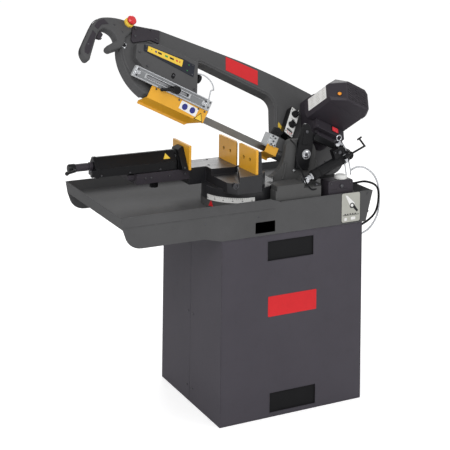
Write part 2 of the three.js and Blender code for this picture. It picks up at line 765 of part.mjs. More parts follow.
function tensionBlock() {
  const { idlerA, centreB } = WHEEL;
  const slideBack = BOW.front - BOW.wall + 2 * GAP;
  const slide = block(idlerA - 45, idlerA + 45, centreB - 20.6, centreB + 20.6, slideBack, 45);
  const nutHole = bar([idlerA - 14, centreB, 36], [idlerA + 60, centreB, 36], 7.6, 24);
  const axle = bar([idlerA, centreB, -14], [idlerA, centreB, 28], 12.5, 24);
  return cut(join(slide, axle), nutHole);
}

function tensionScrew() {
  const { centreB } = WHEEL;
  const shaft = bar([-425, centreB, 36], [-228, centreB, 36], 7.2, 20);
  const head = bar([-239.4, centreB, 36], [-226, centreB, 36], 17, 24);
  return join(shaft, head);
}

// ---------------------------------------------------------------- saw head, upright pieces
// x runs along the blade, y square to it and up, and z out towards the front; z = 0 is the blade's plane.
function guideBar() {
  const body = slab(roundedRectangle(-562, -206, 34, 78, 3), 32, 47, 1, 3);
  const longSlot = slab(roundedRectangle(-505, -300, 50, 63, 6.5), 20, 60, 0, 6);
  const foot = block(-230, -186, 8, 76, 12, 32);
  return cut(join(body, foot), longSlot);
}

function leftGuide() {
  const body = block(-228, -186, 7.5, 44, -18, 12 - GAP);
  const bladeSlot = block(-240, -170, 6, 15, -1, 1);
  return cut(body, bladeSlot);
}

function rightGuide() {
  const body = block(122, 164, 7.5, 62, -16, 30);
  const bladeSlot = block(110, 180, 6, 15, -1, 1);
  return cut(body, bladeSlot);
}

// The folded guard over the lower run of the blade; its section is drawn in depth and height.
function guardSheet(front, top, fold, back, low, lip, thick) {
  return outline([
    [front, top],
    [front, fold],
    [back, low],
    [back, lip],
    [back - thick, lip],
    [back - thick, low + thick],
    [front - thick, fold + thick],
    [front - thick, top],
  ]);
}

function leftGuard() {
  const section = guardSheet(40, 33.6, -16, -19, -42, -52, 2.5);
  const folded = slabAcross(section, -462, -192);
  const corner = slab(outline([[-262, -80], [-150, -80], [-150, -18], [-200, -18]]), -60, 60);
  return cut(folded, corner);
}

function rightGuard() {
  const section = guardSheet(36.5, 20, -14, -14, -34, -44, 2.5);
  return slabAcross(section, 122, 180);
}

// The seat that joins the guide bar to the bow, and the holder of the right-hand guide.
function bowSeats() {
  const barSeat = block(-480, -300, 32, 80, -40, 32 - GAP);
  const guideHolder = block(164 + GAP, 214, 14, 62, -34, 30);
  const hub = bar([PIVOT_A, PIVOT_N, -30], [PIVOT_A, PIVOT_N, 37.6], 34, 32);
  const space = block(-700, 600, -300, 300, BOW.back, 300);
  return [barSeat, guideHolder, hub].map((piece) => common(piece.rotateX(rad(90 - WHEEL_PLANE)), space));
}

// The front arm of the tilt hinge: a plate beside the column, bridged back over it to the gearbox.
function pivotArm() {
  const a = PIVOT_A;
  const n = PIVOT_N;
  const plate = new THREE.Shape();
  plate.moveTo(-46, -55);
  plate.lineTo(12, -68);
  plate.lineTo(29, 0);
  plate.quadraticCurveTo(44, 60, 22, 110);
  plate.quadraticCurveTo(6, 134, -10, 118);
  plate.quadraticCurveTo(-36, 60, -41, 0);
  const front = slab(plate, 62 + GAP, 79, 3, 10).rotateZ(rad(HEAD_RAISED)).translate(a, n, 0);
  const bridge = block(a - 14, a + 78, n + 64, n + 92, 23, 76);
  const bore = bar([a, n, 60], [a, n, 100], PIVOT.r + 0.05, 48);
  return cut(join(front, bridge, ...cylinderBracket()), bore);
}

const CONTROLS = { a: 242, b: 140, turn: -18, halfWide: 25, halfLong: 81, front: 58 };

function controlBox() {
  const { a, b, turn, halfWide, halfLong, front } = CONTROLS;
  const face = roundedRectangle(-halfWide, halfWide, -halfLong, halfLong, 6);
  const box = slab(face, BOW.front + GAP, front, 2, 4);
  return box.rotateZ(rad(turn)).translate(a, b, 0);
}

// A pointer knob of the control box, along z at the given place.
function controlKnob(along, turn) {
  const knob = turned([[0, 0], [15, 0], [15, 4], [12, 18], [0, 18]], 24);
  const grip = block(-4, 4, -14, 14, 10, 24);
  const pointer = join(knob, grip.rotateZ(rad(turn))).translate(0, along, CONTROLS.front + GAP);
  return pointer.rotateZ(rad(CONTROLS.turn)).translate(CONTROLS.a, CONTROLS.b, 0);
}

function rockerSwitch() {
  const { a, b, front } = SWITCH;
  return block(a - 15, a + 15, b - 10, b + 10, front - 5, front + 4);
}

// ---------------------------------------------------------------- handle end of the head
function controlCover() {
  const shape = outline([[-562, 260], [-430, 301], [-430, 234], [-470, 232], [-552, 178], [-562, 186]]);
  return slab(shape, BOW.front + GAP, BOW.front + 8, 1.5);
}

// The hooked grip: an arm forward from the bow, a downward grip and a spur below the hand.
function handle() {
  const shape = new THREE.Shape();
  shape.moveTo(-566, 267);
  shape.quadraticCurveTo(-640, 266, -706, 225);
  shape.quadraticCurveTo(-736, 207, -752, 150);
  shape.lineTo(-779, 44);
  shape.quadraticCurveTo(-784, 12, -756, -8);
  shape.quadraticCurveTo(-737, -10, -738, 10);
  shape.lineTo(-722, 120);
  shape.quadraticCurveTo(-712, 166, -690, 176);
  shape.quadraticCurveTo(-644, 188, -632, 146);
  shape.lineTo(-670, 102);
  shape.quadraticCurveTo(-674, 82, -650, 84);
  shape.lineTo(-612, 118);
  shape.quadraticCurveTo(-590, 140, -592, 180);
  shape.lineTo(-566, 222);
  const grip = slab(shape, 4, 40, 8, 10);
  const bowCorner = outline([
    [-585, 264],
    [-597, 252],
    [-604, 234],
    [-607, 206],
    [-607.5, 150],
    [-603, 90],
    [-560, 60],
    [-500, 200],
    [-500, 292],
  ]);
  const triggerRoom = block(-727, -700, 118, 168, 14, 30);
  return cut(grip, slab(bowCorner, 0, BOW.front + GAP), triggerRoom);
}

function trigger() {
  const shape = outline([[-718, 122], [-698, 126], [-690, 150], [-704, 162], [-718, 160]]);
  return slab(shape, 14 + GAP, 30 - GAP, 2);
}

// The emergency stop stands on the root of the handle and faces the front.
const STOP = { a: -586, b: 255, z: 40 + GAP };

function stopCollar() {
  const ring = turned([[9.4, 0], [21, 0], [21, 8], [17, 13], [9.4, 13], [9.4, 0]], 28);
  return ring.translate(STOP.a, STOP.b, STOP.z);
}

function stopButton() {
  const stem = bar([0, 0, 4], [0, 0, 20], 9, 24);
  const cap = turned([[0, 0], [15, 0], [20, 4], [20, 10], [15, 15], [0, 17]], 32).translate(0, 0, 17);
  return join(stem, cap).translate(STOP.a, STOP.b, STOP.z);
}

// ---------------------------------------------------------------- feed cylinder
// Drawn along +X from its pin at the origin, then turned to its rest angle.
function placeCylinder(geometry) {
  return geometry.rotateY(-rad(CYLINDER.angle)).translate(CYLINDER.pinX, CYLINDER.y, CYLINDER.pinZ);
}

function cylinderRod() {
  const rod = bar([8, 0, 0], [130, 0, 0], 11, 24);
  const eye = bar([0, -9, 0], [0, 12 - GAP, 0], 13, 24);
  const eyeHole = bar([0, -20, 0], [0, 20, 0], 6.1, 20);
  return placeCylinder(cut(join(rod, eye), eyeHole));
}

function cylinderTube() {
  const { radius, length } = CYLINDER;
  const tube = bar([32, 0, 0], [length - 12, 0, 0], radius, 32);
  const collar = bar([length - 30, 0, 0], [length - 14, 0, 0], radius + 1.5, 32);
  const eye = bar([length, -10, 0], [length, 10, 0], 17, 24);
  const eyeHole = bar([length, -12, 0], [length, 12, 0], 11, 24);
  const valve = block(150, 202, -14, 14, radius - 4, VALVE.top);
  const { crankY, crankZ } = VALVE;
  const gland = bar([length - 34, crankY, crankZ], [length - 14, crankY, crankZ], 9, 20);
  const crankHole = bar([length - 40, crankY, crankZ], [length, crankY, crankZ], 4.2, 16);
  const rodRoom = bar([31, 0, 0], [length - 34, 0, 0], 11 + GAP, 24);
  return placeCylinder(cut(join(tube, collar, eye, valve, gland), rodRoom, eyeHole, crankHole));
}

function valveKnob() {
  const knob = turned([[0, 0], [5, 0], [5, 8], [13, 8], [13, 20], [0, 20]], 24);
  return placeCylinder(knob.translate(186, 0, VALVE.top + GAP));
}

// The bent feed crank beyond the tube's upper end.
function valveCrank() {
  const { length } = CYLINDER;
  const { crankY, crankZ } = VALVE;
  const end = length + 70;
  const stem = bar([length - 32, crankY, crankZ], [end, crankY, crankZ], 4, 16);
  const arm = bar([end, crankY, crankZ - 2], [end - 14, crankY, crankZ + 40], 4, 12);
  const tee = bar([end - 24, crankY, crankZ + 40], [end - 2, crankY, crankZ + 42], 3.5, 12);
  return placeCylinder(join(stem, arm, tee));
}

// The bracket on the head that the cylinder's open end works against.
function cylinderBracket() {
  const x = PIVOT_A + 152.6;
  const y = PIVOT_N + 70.5;
  const pin = bar([x, y, 110], [x, y, 156], 6.5, 20);
  const arm = block(PIVOT_A + 4, x + 16, y - 4, y + 21, 70, 84);
  const cheek = block(x - 16, x + 16, y - 18, y + 21, 76, 116);
  return [pin, arm, cheek];
}

// ---------------------------------------------------------------- coolant
function pumpBox() {
  const x = SWIVEL.x + 330;
  const floor = TRAY.floor + TRAY.sheet + GAP;
  const body = slabAlongY(roundedRectangle(x, x + 118, floor, 896, 8), -258, -194, 2, 4);
  return body;
}

function pumpCap() {
  const lid = turned([[0, 0], [27, 0], [27, 8], [20, 15], [0, 15]], 28);
  return lid.translate(SWIVEL.x + 408, -226, 896 + GAP);
}

function pumpCable() {
  const start = SWIVEL.x + 448 + 2;
  return hose(
    [
      [start, -226, 868],
      [start + 30, -226, 869],
      [start + 84, -222, 868],
      [432, -214, 838],
      [446, -206, 784],
      [434, -196, 722],
      [386, -190, 686],
      [CABINET.width / 2 + 2 + GAP, -190, 672],
    ],
    4.5,
    36,
  );
}

// ---------------------------------------------------------------- assembly
function slabAcross(shape, x0, x1) {
  return slab(shape, -x1, -x0).rotateY(-Math.PI / 2);
}

function standParts() {
  const { x, y } = SWIVEL;
  const rearStart = y + JAW.slotHalf;
  const frontEnd = y - JAW.slotHalf;
  return [
    named('cabinet_front_half', cabinetHalf(-1), cabinetGrey()),
    named('cabinet_back_half', cabinetHalf(1), cabinetGrey()),
    named('cabinet_floor', cabinetFloor(), cabinetGrey()),
    named('coolant_tank', coolantTank(), bodyGrey()),
    named('base_frame', baseFrame(), bodyGrey()),
    named('chip_tray', chipTray(), bodyGrey()),
    named('bed_casting', bedCasting(), black()),
    named('degree_scale', degreeScale(), cream()),
    named('fixed_jaw_back', jawPlate(x, rearStart, rearStart + JAW.rearLength, 17), amber()),
    named('fixed_jaw_front', jawPlate(x, frontEnd - JAW.frontLength, frontEnd), amber()),
    named('vise_rail', viseRail(), darkPlum()),
    named('vise_housing', viseHousing(), black()),
    named('pump_box', pumpBox(), darkPlum()),
    named('pump_cap', pumpCap(), cream()),
    named('pump_cable', pumpCable(), rubberBlack()),
  ];
}

function viseParts() {
  const { y, face } = VISE;
  return [
    named('vise_ram', viseRam(), steel()),
    named('vise_screw', viseScrew(), darkPlum()),
    named('vise_handle', viseHandle(), black()),
    named('jaw_carrier', jawCarrier(), black()),
    named('moving_jaw', jawPlate(face - JAW.thick, y - 75, y + 80), amber()),
    named('rail_clamp', railClamp(), black()),
  ];
}

function swivelParts() {
  return [
    named('swivel_arm', swivelArm(), castGrey()),
    named('mitre_pointer', mitrePointer(), red()),
    named('mitre_lock_lever', mitreLock(), black()),
    named('pivot_column', pivotColumn(), castGrey()),
    named('pivot_shaft', pivotShaft(), steel()),
  ];
}

function wheelPlaneParts() {
  const { idlerA, driveA, centreB } = WHEEL;
  const group = new THREE.Group();
  group.rotation.x = rad(WHEEL_PLANE);
  const idler = named('idler_wheel', bandWheel(13), castGrey());
  idler.position.set(idlerA, centreB, 0);
  const drive = named('drive_wheel', bandWheel(16.05), castGrey());
  drive.position.set(driveA, centreB, 0);
  group.add(
    named('bow_casting', bowCasting(), bodyGrey()),
    named('blade_cover', bladeCover(), bodyGrey()),
    named('gearbox', gearbox(), darkPlum()),
    named('drive_shaft', driveShaft(), steel()),
    drive,
    idler,
    named('idler_carrier', tensionBlock(), steel()),
    named('tension_screw', tensionScrew(), black()),
    named('saw_blade', bladeLoop(), steel()),
    named('motor_body', motorBody(), darkPlum()),
    named('motor_fan_cover', motorFanCover(), darkPlum()),
    named('motor_fan', motorFan(), aluminium()),
    named('switch_box', terminalBox(), darkPlum()),
    named('rocker_switch', rockerSwitch(), red()),
    named('control_box', controlBox(), black()),
    named('speed_knob', controlKnob(46, 0), black()),
    named('mode_knob', controlKnob(-18, 40), black()),
    named('control_cover', controlCover(), darkPlum()),
    named('handle', handle(), bodyGrey()),
    named('trigger', trigger(), darkPlum()),
    named('stop_collar', stopCollar(), amber()),
    named('stop_button', stopButton(), red()),
  );
  return group;
}

function cutPlaneParts() {
  const group = new THREE.Group();
  group.rotation.x = Math.PI / 2;
  group.add(
    named('guide_bar', guideBar(), aluminium()),
    named('guide_clamp', guideClamp(), black()),
    named('left_guide', leftGuide(), aluminium()),
    named('right_guide', rightGuide(), aluminium()),
    named('left_guard', leftGuard(), amber()),
    named('right_guard', rightGuard(), amber()),
    named('pivot_arm', pivotArm(), black()),
  );
  return group;
}

function guideClamp() {
  const hub = bar([-366, 56.5, 47 + GAP], [-366, 56.5, 66], 15, 24);
  const stud = bar([-366, 56.5, 34], [-366, 56.5, 50], 5.5, 16);
  const lever = bar([-366, 56.5, 58], [-428, 34, 64], 6, 16);
  return join(hub, stud, lever, new THREE.SphereGeometry(7.5, 16, 10).translate(-428, 34, 64));
}

function cylinderParts() {
  return [
    named('cylinder_rod', cylinderRod(), chrome()),
    named('cylinder_tube', cylinderTube(), black()),
    named('valve_knob', valveKnob(), chrome()),
    named('feed_crank', valveCrank(), steel()),
  ];
}

// The saw head, tilted about the pivot shaft into its raised rest pose.
function sawHead() {
  const head = new THREE.Group();
  head.position.set(PIVOT.x, SWIVEL.y, PIVOT.z);
  head.rotation.y = rad(HEAD_RAISED);
  const alongBlade = new THREE.Group();
  alongBlade.position.set(-PIVOT_A, 0, -PIVOT_N);
  alongBlade.add(wheelPlaneParts(), cutPlaneParts());
  head.add(alongBlade);
  return head;
}

const saw = new THREE.Group();
saw.add(...standParts(), ...viseParts(), ...swivelParts(), ...cylinderParts(), sawHead());

export default saw;
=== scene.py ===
"""Looks of the mitring band saw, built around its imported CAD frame. The helpers work in millimetres."""
import json
import math
import random

import bpy
from mathutils import Matrix, Vector


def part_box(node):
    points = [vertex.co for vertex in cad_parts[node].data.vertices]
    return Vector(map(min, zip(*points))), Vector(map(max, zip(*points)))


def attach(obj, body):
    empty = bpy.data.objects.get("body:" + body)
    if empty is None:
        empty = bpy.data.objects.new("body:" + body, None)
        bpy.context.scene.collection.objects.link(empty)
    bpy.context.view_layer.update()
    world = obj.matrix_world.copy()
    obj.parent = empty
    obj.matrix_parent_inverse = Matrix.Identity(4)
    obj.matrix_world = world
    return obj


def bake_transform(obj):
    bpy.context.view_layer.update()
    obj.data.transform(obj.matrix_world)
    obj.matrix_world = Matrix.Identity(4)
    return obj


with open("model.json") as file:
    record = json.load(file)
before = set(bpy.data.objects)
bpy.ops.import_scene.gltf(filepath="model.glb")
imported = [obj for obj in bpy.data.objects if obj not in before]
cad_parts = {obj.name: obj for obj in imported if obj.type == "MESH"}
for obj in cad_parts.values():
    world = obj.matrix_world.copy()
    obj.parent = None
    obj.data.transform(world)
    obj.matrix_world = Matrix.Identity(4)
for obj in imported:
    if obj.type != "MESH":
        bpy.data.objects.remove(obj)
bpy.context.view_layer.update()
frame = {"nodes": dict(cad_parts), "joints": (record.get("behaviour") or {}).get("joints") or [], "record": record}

JOINTS = {joint["name"]: joint for joint in frame["joints"]}
random.seed(7)


# ---------------------------------------------------------------- frames to draw in
class Place:
    """A set of axes in the object's frame; point() turns millimetres along them into a position."""

    def __init__(self, origin, x, y, z):
        self.origin, self.x, self.y, self.z = (Vector(v) for v in (origin, x, y, z))

    def point(self, x, y, z=0.0):
        return self.origin + (self.x * x + self.y * y + self.z * z) / 1000

    def moved(self, x, y, z=0.0, turn=0.0):
        c, s = math.cos(math.radians(turn)), math.sin(math.radians(turn))
        return Place(self.point(x, y, z), self.x * c + self.y * s, self.y * c - self.x * s, self.z)

    def facing(self, direction):
        """The same origin with z along a direction given in these axes."""
        z = (self.x * direction[0] + self.y * direction[1] + self.z * direction[2]).normalized()
        side = self.y if abs(z.dot(self.y)) < 0.9 else self.x
        x = side.cross(z).normalized()
        return Place(self.origin, x, z.cross(x), z)


def joint_point(name):
    return Vector(JOINTS[name]["pos_m"])


def joint_axis(name):
    return Vector(JOINTS[name]["axis"]).normalized()


def facing_front(x, y, z):
    """A place at a point in metres that faces the front: x to the right, y up."""
    return Place((x, y, z), (1, 0, 0), (0, 0, 1), (0, -1, 0))


def facing_side(x, y, z, side):
    """A place at a point in metres that faces right (side 1) or left (side -1), with y up."""
    return Place((x, y, z), (0, side, 0), (0, 0, 1), (side, 0, 0))


ROW = Place((0, 0, 0), (1, 0, 0), (0, 1, 0), (0, 0, 1))
FRONT = facing_front(0, 0, 0)
ALONG = joint_axis("guide_arm_slide")
OUT = joint_axis("drive_spin")
UP = OUT.cross(ALONG)
# The wheel plane: x along the blade from the mitre axis, y up the leaning plane, z out of its front.
IDLER, DRIVE = (-432, 150), (390, 150)
WHEELS = Place(joint_point("idler_spin") - (ALONG * IDLER[0] + UP * IDLER[1]) / 1000, ALONG, UP, OUT)
# The cut plane: x along the blade, y square to it and up, z to the front.
CUT = Place(WHEELS.origin, ALONG, Vector((0, -1, 0)).cross(ALONG), (0, -1, 0))
# The feed cylinder: x along its stroke, z along its valve knob.
CYLINDER = Place(joint_point("cylinder_swing"), joint_axis("cylinder_stroke"), (0, 1, 0),
                 joint_axis("valve_knob_turn"))
# The mitre axis in millimetres, and the bed's top.
MITRE_X, MITRE_Y = joint_point("mitre_swivel").x * 1000, joint_point("mitre_swivel").y * 1000
BED_TOP = 955


# ---------------------------------------------------------------- materials
def srgb(red, green, blue):
    def linear(v):
        v /= 255
        return v / 12.92 if v <= 0.04045 else ((v + 0.055) / 1.055) ** 2.4

    return (linear(red), linear(green), linear(blue), 1)


class Nodes:
    """A short way to build a node tree."""

    def __init__(self, name):
        self.material = bpy.data.materials.new(name)
        self.material.use_nodes = True
        self.tree = self.material.node_tree
        self.tree.nodes.clear()

    def add(self, kind, **values):
        node = self.tree.nodes.new(kind)
        for key, value in values.items():
            if hasattr(node, key):
                setattr(node, key, value)
            else:
                node.inputs[key.replace("_", " ")].default_value = value
        return node

    def link(self, start, end):
        self.tree.links.new(start, end)


def noise(n, coordinates, scale, detail=3.0, roughness=0.55):
    node = n.add("ShaderNodeTexNoise", Scale=scale, Detail=detail, Roughness=roughness)
    n.link(coordinates, node.inputs["Vector"])
    return node.outputs["Fac"]


def remap(n, value, low, high, to_low=0.0, to_high=1.0):
    node = n.add("ShaderNodeMapRange", From_Min=low, From_Max=high, To_Min=to_low, To_Max=to_high)
    n.link(value, node.inputs["Value"])
    return node.outputs["Result"]


def maths(n, operation, first, second):
    node = n.add("ShaderNodeMath", operation=operation)
    for socket, value in zip(node.inputs, (first, second)):
        if isinstance(value, (int, float)):
            socket.default_value = value
        else:
            n.link(value, socket)
    return node.outputs[0]


def mix(n, share, first, second):
    node = n.add("ShaderNodeMix", data_type="RGBA")
    sockets = [s for s in node.inputs if s.enabled and s.name in ("Factor", "A", "B")]
    for socket, value in zip(sockets, (share, first, second)):
        if isinstance(value, (int, float, tuple)):
            socket.default_value = value
        else:
            n.link(value, socket)
    return [s for s in node.outputs if s.enabled][0]


def edge_mask(n, radius, coordinates, amount):
    """Bright on convex and concave edges, broken up by noise."""
    bevel = n.add("ShaderNodeBevel", samples=4, Radius=radius)
    geometry = n.add("ShaderNodeNewGeometry")
    dot = n.add("ShaderNodeVectorMath", operation="DOT_PRODUCT")
    n.link(bevel.outputs["Normal"], dot.inputs[0])
    n.link(geometry.outputs["Normal"], dot.inputs[1])
    edge = remap(n, dot.outputs["Value"], 0.985, 0.86)
    broken = remap(n, noise(n, coordinates, 60.0, 5.0), 0.46, 0.62)
    return maths(n, "MULTIPLY", maths(n, "MULTIPLY", edge, broken), amount), bevel.outputs["Normal"]


def surface(name, colour, rough=0.5, metal=0.0, grain=900.0, bump=0.12, wear=0.5, worn=None,
            shade=0.10, coat=0.0, radius=0.0016, streaks=None, clear=0.0, glow=0.0):
    """A procedural finish: slow shade changes, fine grain, softened and worn edges."""
    n = Nodes(name)
    coordinates = n.add("ShaderNodeTexCoord").outputs["Object"]
    slow = noise(n, coordinates, 5.0, 4.0)
    stretched = coordinates
    if streaks:
        mapping = n.add("ShaderNodeMapping")
        mapping.inputs["Scale"].default_value = streaks
        n.link(coordinates, mapping.inputs["Vector"])
        stretched = mapping.outputs["Vector"]
    fine = noise(n, stretched, grain, 3.0)
    dark = tuple(c * (1 - shade) for c in colour[:3]) + (1,)
    light = tuple(min(1, c * (1 + shade)) for c in colour[:3]) + (1,)
    base = mix(n, remap(n, slow, 0.3, 0.7), dark, light)
    smudge = remap(n, noise(n, coordinates, 22.0, 6.0, 0.7), 0.52, 0.78)
    base = mix(n, maths(n, "MULTIPLY", smudge, 0.22), base, tuple(c * 0.6 for c in colour[:3]) + (1,))
    mask, soft_normal = edge_mask(n, radius, coordinates, wear)
    worn = worn or tuple(min(1, 0.08 + c * 1.7) for c in colour[:3]) + (1,)
    base = mix(n, mask, base, worn)
    shader = n.add("ShaderNodeBsdfPrincipled")
    n.link(base, shader.inputs["Base Color"])
    n.link(remap(n, fine, 0.3, 0.7, max(rough - 0.08, 0.03), min(rough + 0.1, 1)), shader.inputs["Roughness"])
    shader.inputs["Metallic"].default_value = metal
    shader.inputs["Coat Weight"].default_value = coat
    shader.inputs["Specular IOR Level"].default_value = 0.5 if metal or coat or clear else 0.22
    shader.inputs["Transmission Weight"].default_value = clear
    if glow:
        n.link(base, shader.inputs["Emission Color"])
        shader.inputs["Emission Strength"].default_value = glow
    bumps = n.add("ShaderNodeBump", Strength=bump, Distance=0.0006)
    n.link(fine, bumps.inputs["Height"])
    n.link(soft_normal, bumps.inputs["Normal"])
    n.link(bumps.outputs["Normal"], shader.inputs["Normal"])
    output = n.add("ShaderNodeOutputMaterial")
    n.link(shader.outputs["BSDF"], output.inputs["Surface"])
    return n.material


MATERIALS = {
    "body": surface("body_paint", srgb(80, 80, 81), 0.66, bump=0.3, wear=0.35, shade=0.07),
    "cabinet": surface("cabinet_paint", srgb(71, 68, 75), 0.6, bump=0.15, wear=0.3, shade=0.05),
    "cast": surface("cast_paint", srgb(78, 78, 78), 0.6, grain=420.0, bump=0.5, wear=0.4, shade=0.1),
    "black": surface("black_paint", srgb(20, 20, 22), 0.34, bump=0.2, wear=0.6, worn=srgb(84, 84, 88)),
    "plum": surface("plum_paint", srgb(54, 50, 56), 0.42, bump=0.18, wear=0.4, worn=srgb(112, 108, 114)),
    "amber": surface("amber_paint", srgb(228, 166, 36), 0.38, bump=0.1, wear=0.35, worn=srgb(240, 196, 96),
                     shade=0.06, coat=0.2),
    "steel": surface("ground_steel", srgb(172, 173, 176), 0.3, 0.95, 500.0, 0.2, 0.3, streaks=(1, 1, 8)),
    "blade": surface("blade_steel", srgb(122, 120, 116), 0.35, 0.8, 500.0, 0.2, 0.3, streaks=(1, 8, 8)),
    "pocket": surface("cast_alloy", srgb(132, 134, 136), 0.5, 0.5, 500.0, 0.4, 0.3),
    "alloy": surface("machined_alloy", srgb(196, 198, 200), 0.32, 0.85, 350.0, 0.3, 0.3, streaks=(1, 8, 8)),
    "chrome": surface("chrome", srgb(214, 216, 220), 0.1, 1.0, 700.0, 0.04, 0.2, shade=0.04),
    "red": surface("red_plastic", srgb(212, 32, 40), 0.28, wear=0.15, bump=0.04, coat=0.4),
    "lamp": surface("lamp_red", srgb(226, 62, 70), 0.2, wear=0.1, bump=0.03, coat=0.5, glow=0.12),
    "rubber": surface("black_rubber", srgb(20, 20, 22), 0.75, grain=1500.0, bump=0.3, wear=0.2),
    "white": surface("white_plastic", srgb(232, 232, 230), 0.4, wear=0.1, bump=0.05, shade=0.04),
    "plate": surface("label_grey", srgb(176, 176, 168), 0.5, wear=0.2, bump=0.05, shade=0.05),
    "plate_red": surface("plate_red", srgb(212, 38, 44), 0.42, wear=0.15, bump=0.05, shade=0.05),
    "navy": surface("label_dark", srgb(37, 40, 49), 0.4, wear=0.2, bump=0.06),
    "yellow": surface("label_yellow", srgb(238, 200, 74), 0.45, wear=0.15, bump=0.05, shade=0.05),
    "orange": surface("lamp_orange", srgb(238, 150, 40), 0.3, wear=0.1, bump=0.04, coat=0.3),
    "green": surface("print_green", srgb(58, 150, 84), 0.5, wear=0.1),
    "blue": surface("print_blue", srgb(52, 58, 128), 0.5, wear=0.1),
    "print": surface("print_black", srgb(34, 34, 36), 0.55, wear=0.1),
    "clear": surface("clear_hose", srgb(228, 230, 234), 0.25, wear=0.1, bump=0.03, shade=0.03, clear=0.35),
    "screw": surface("screw_steel", srgb(92, 92, 96), 0.35, 0.8, 800.0, 0.1, 0.5),
}
# The finish of each slot's CAD nodes, and the nodes that differ from their slot.
BY_SLOT = {
    "body_grey": "body", "cabinet_grey": "cabinet", "cast_grey": "cast", "black_paint": "black",
    "dark_plum": "plum", "amber_paint": "amber", "steel": "steel", "aluminium": "alloy", "chrome": "chrome",
    "red_plastic": "red", "black_rubber": "rubber", "cream_plastic": "white",
}
BY_NODE = {"degree_scale": "white", "rocker_switch": "lamp", "feed_crank": "black",
           "stop_collar": "yellow", "saw_blade": "blade"}


def bed_finish():
    """Black paint on the casting's sides and a ground, oiled top."""
    n = Nodes("bed_casting_finish")
    coordinates = n.add("ShaderNodeTexCoord").outputs["Object"]
    parts = n.add("ShaderNodeSeparateXYZ")
    n.link(coordinates, parts.inputs[0])
    normal = n.add("ShaderNodeSeparateXYZ")
    n.link(n.add("ShaderNodeNewGeometry").outputs["Normal"], normal.inputs[0])
    top = maths(n, "MULTIPLY", maths(n, "GREATER_THAN", normal.outputs["Z"], 0.9),
                maths(n, "GREATER_THAN", parts.outputs["Z"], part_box("fixed_jaw_back")[0].z - 0.002))
    mapping = n.add("ShaderNodeMapping")
    mapping.inputs["Scale"].default_value = (1, 30, 1)
    n.link(coordinates, mapping.inputs["Vector"])
    streak = noise(n, mapping.outputs["Vector"], 14.0, 5.0)
    ground = mix(n, remap(n, streak, 0.3, 0.7), srgb(70, 70, 72), srgb(138, 138, 138))
    fine = noise(n, coordinates, 500.0, 3.0)
    mask, soft_normal = edge_mask(n, 0.0018, coordinates, 0.6)
    shade = remap(n, noise(n, coordinates, 6.0), 0.3, 0.7)
    paint = mix(n, mask, mix(n, shade, srgb(26, 26, 29), srgb(38, 38, 41)), srgb(110, 110, 112))
    shader = n.add("ShaderNodeBsdfPrincipled")
    n.link(mix(n, top, paint, ground), shader.inputs["Base Color"])
    n.link(maths(n, "MULTIPLY", top, 0.75), shader.inputs["Metallic"])
    n.link(remap(n, fine, 0.3, 0.7, 0.3, 0.45), shader.inputs["Roughness"])
    bumps = n.add("ShaderNodeBump", Strength=0.3, Distance=0.0006)
    n.link(fine, bumps.inputs["Height"])
    n.link(soft_normal, bumps.inputs["Normal"])
    n.link(bumps.outputs["Normal"], shader.inputs["Normal"])
    n.link(shader.outputs["BSDF"], n.add("ShaderNodeOutputMaterial").inputs["Surface"])
    return n.material


def dress_frame():
    slots = {part["node"]: part["material_slot"] for part in frame["record"]["subparts"]}
    bed = bed_finish()
    for name, node in frame["nodes"].items():
        key = BY_NODE.get(name, BY_SLOT[slots[name]])
        node.data.materials.clear()
        node.data.materials.append(bed if name == "bed_casting" else MATERIALS[key])


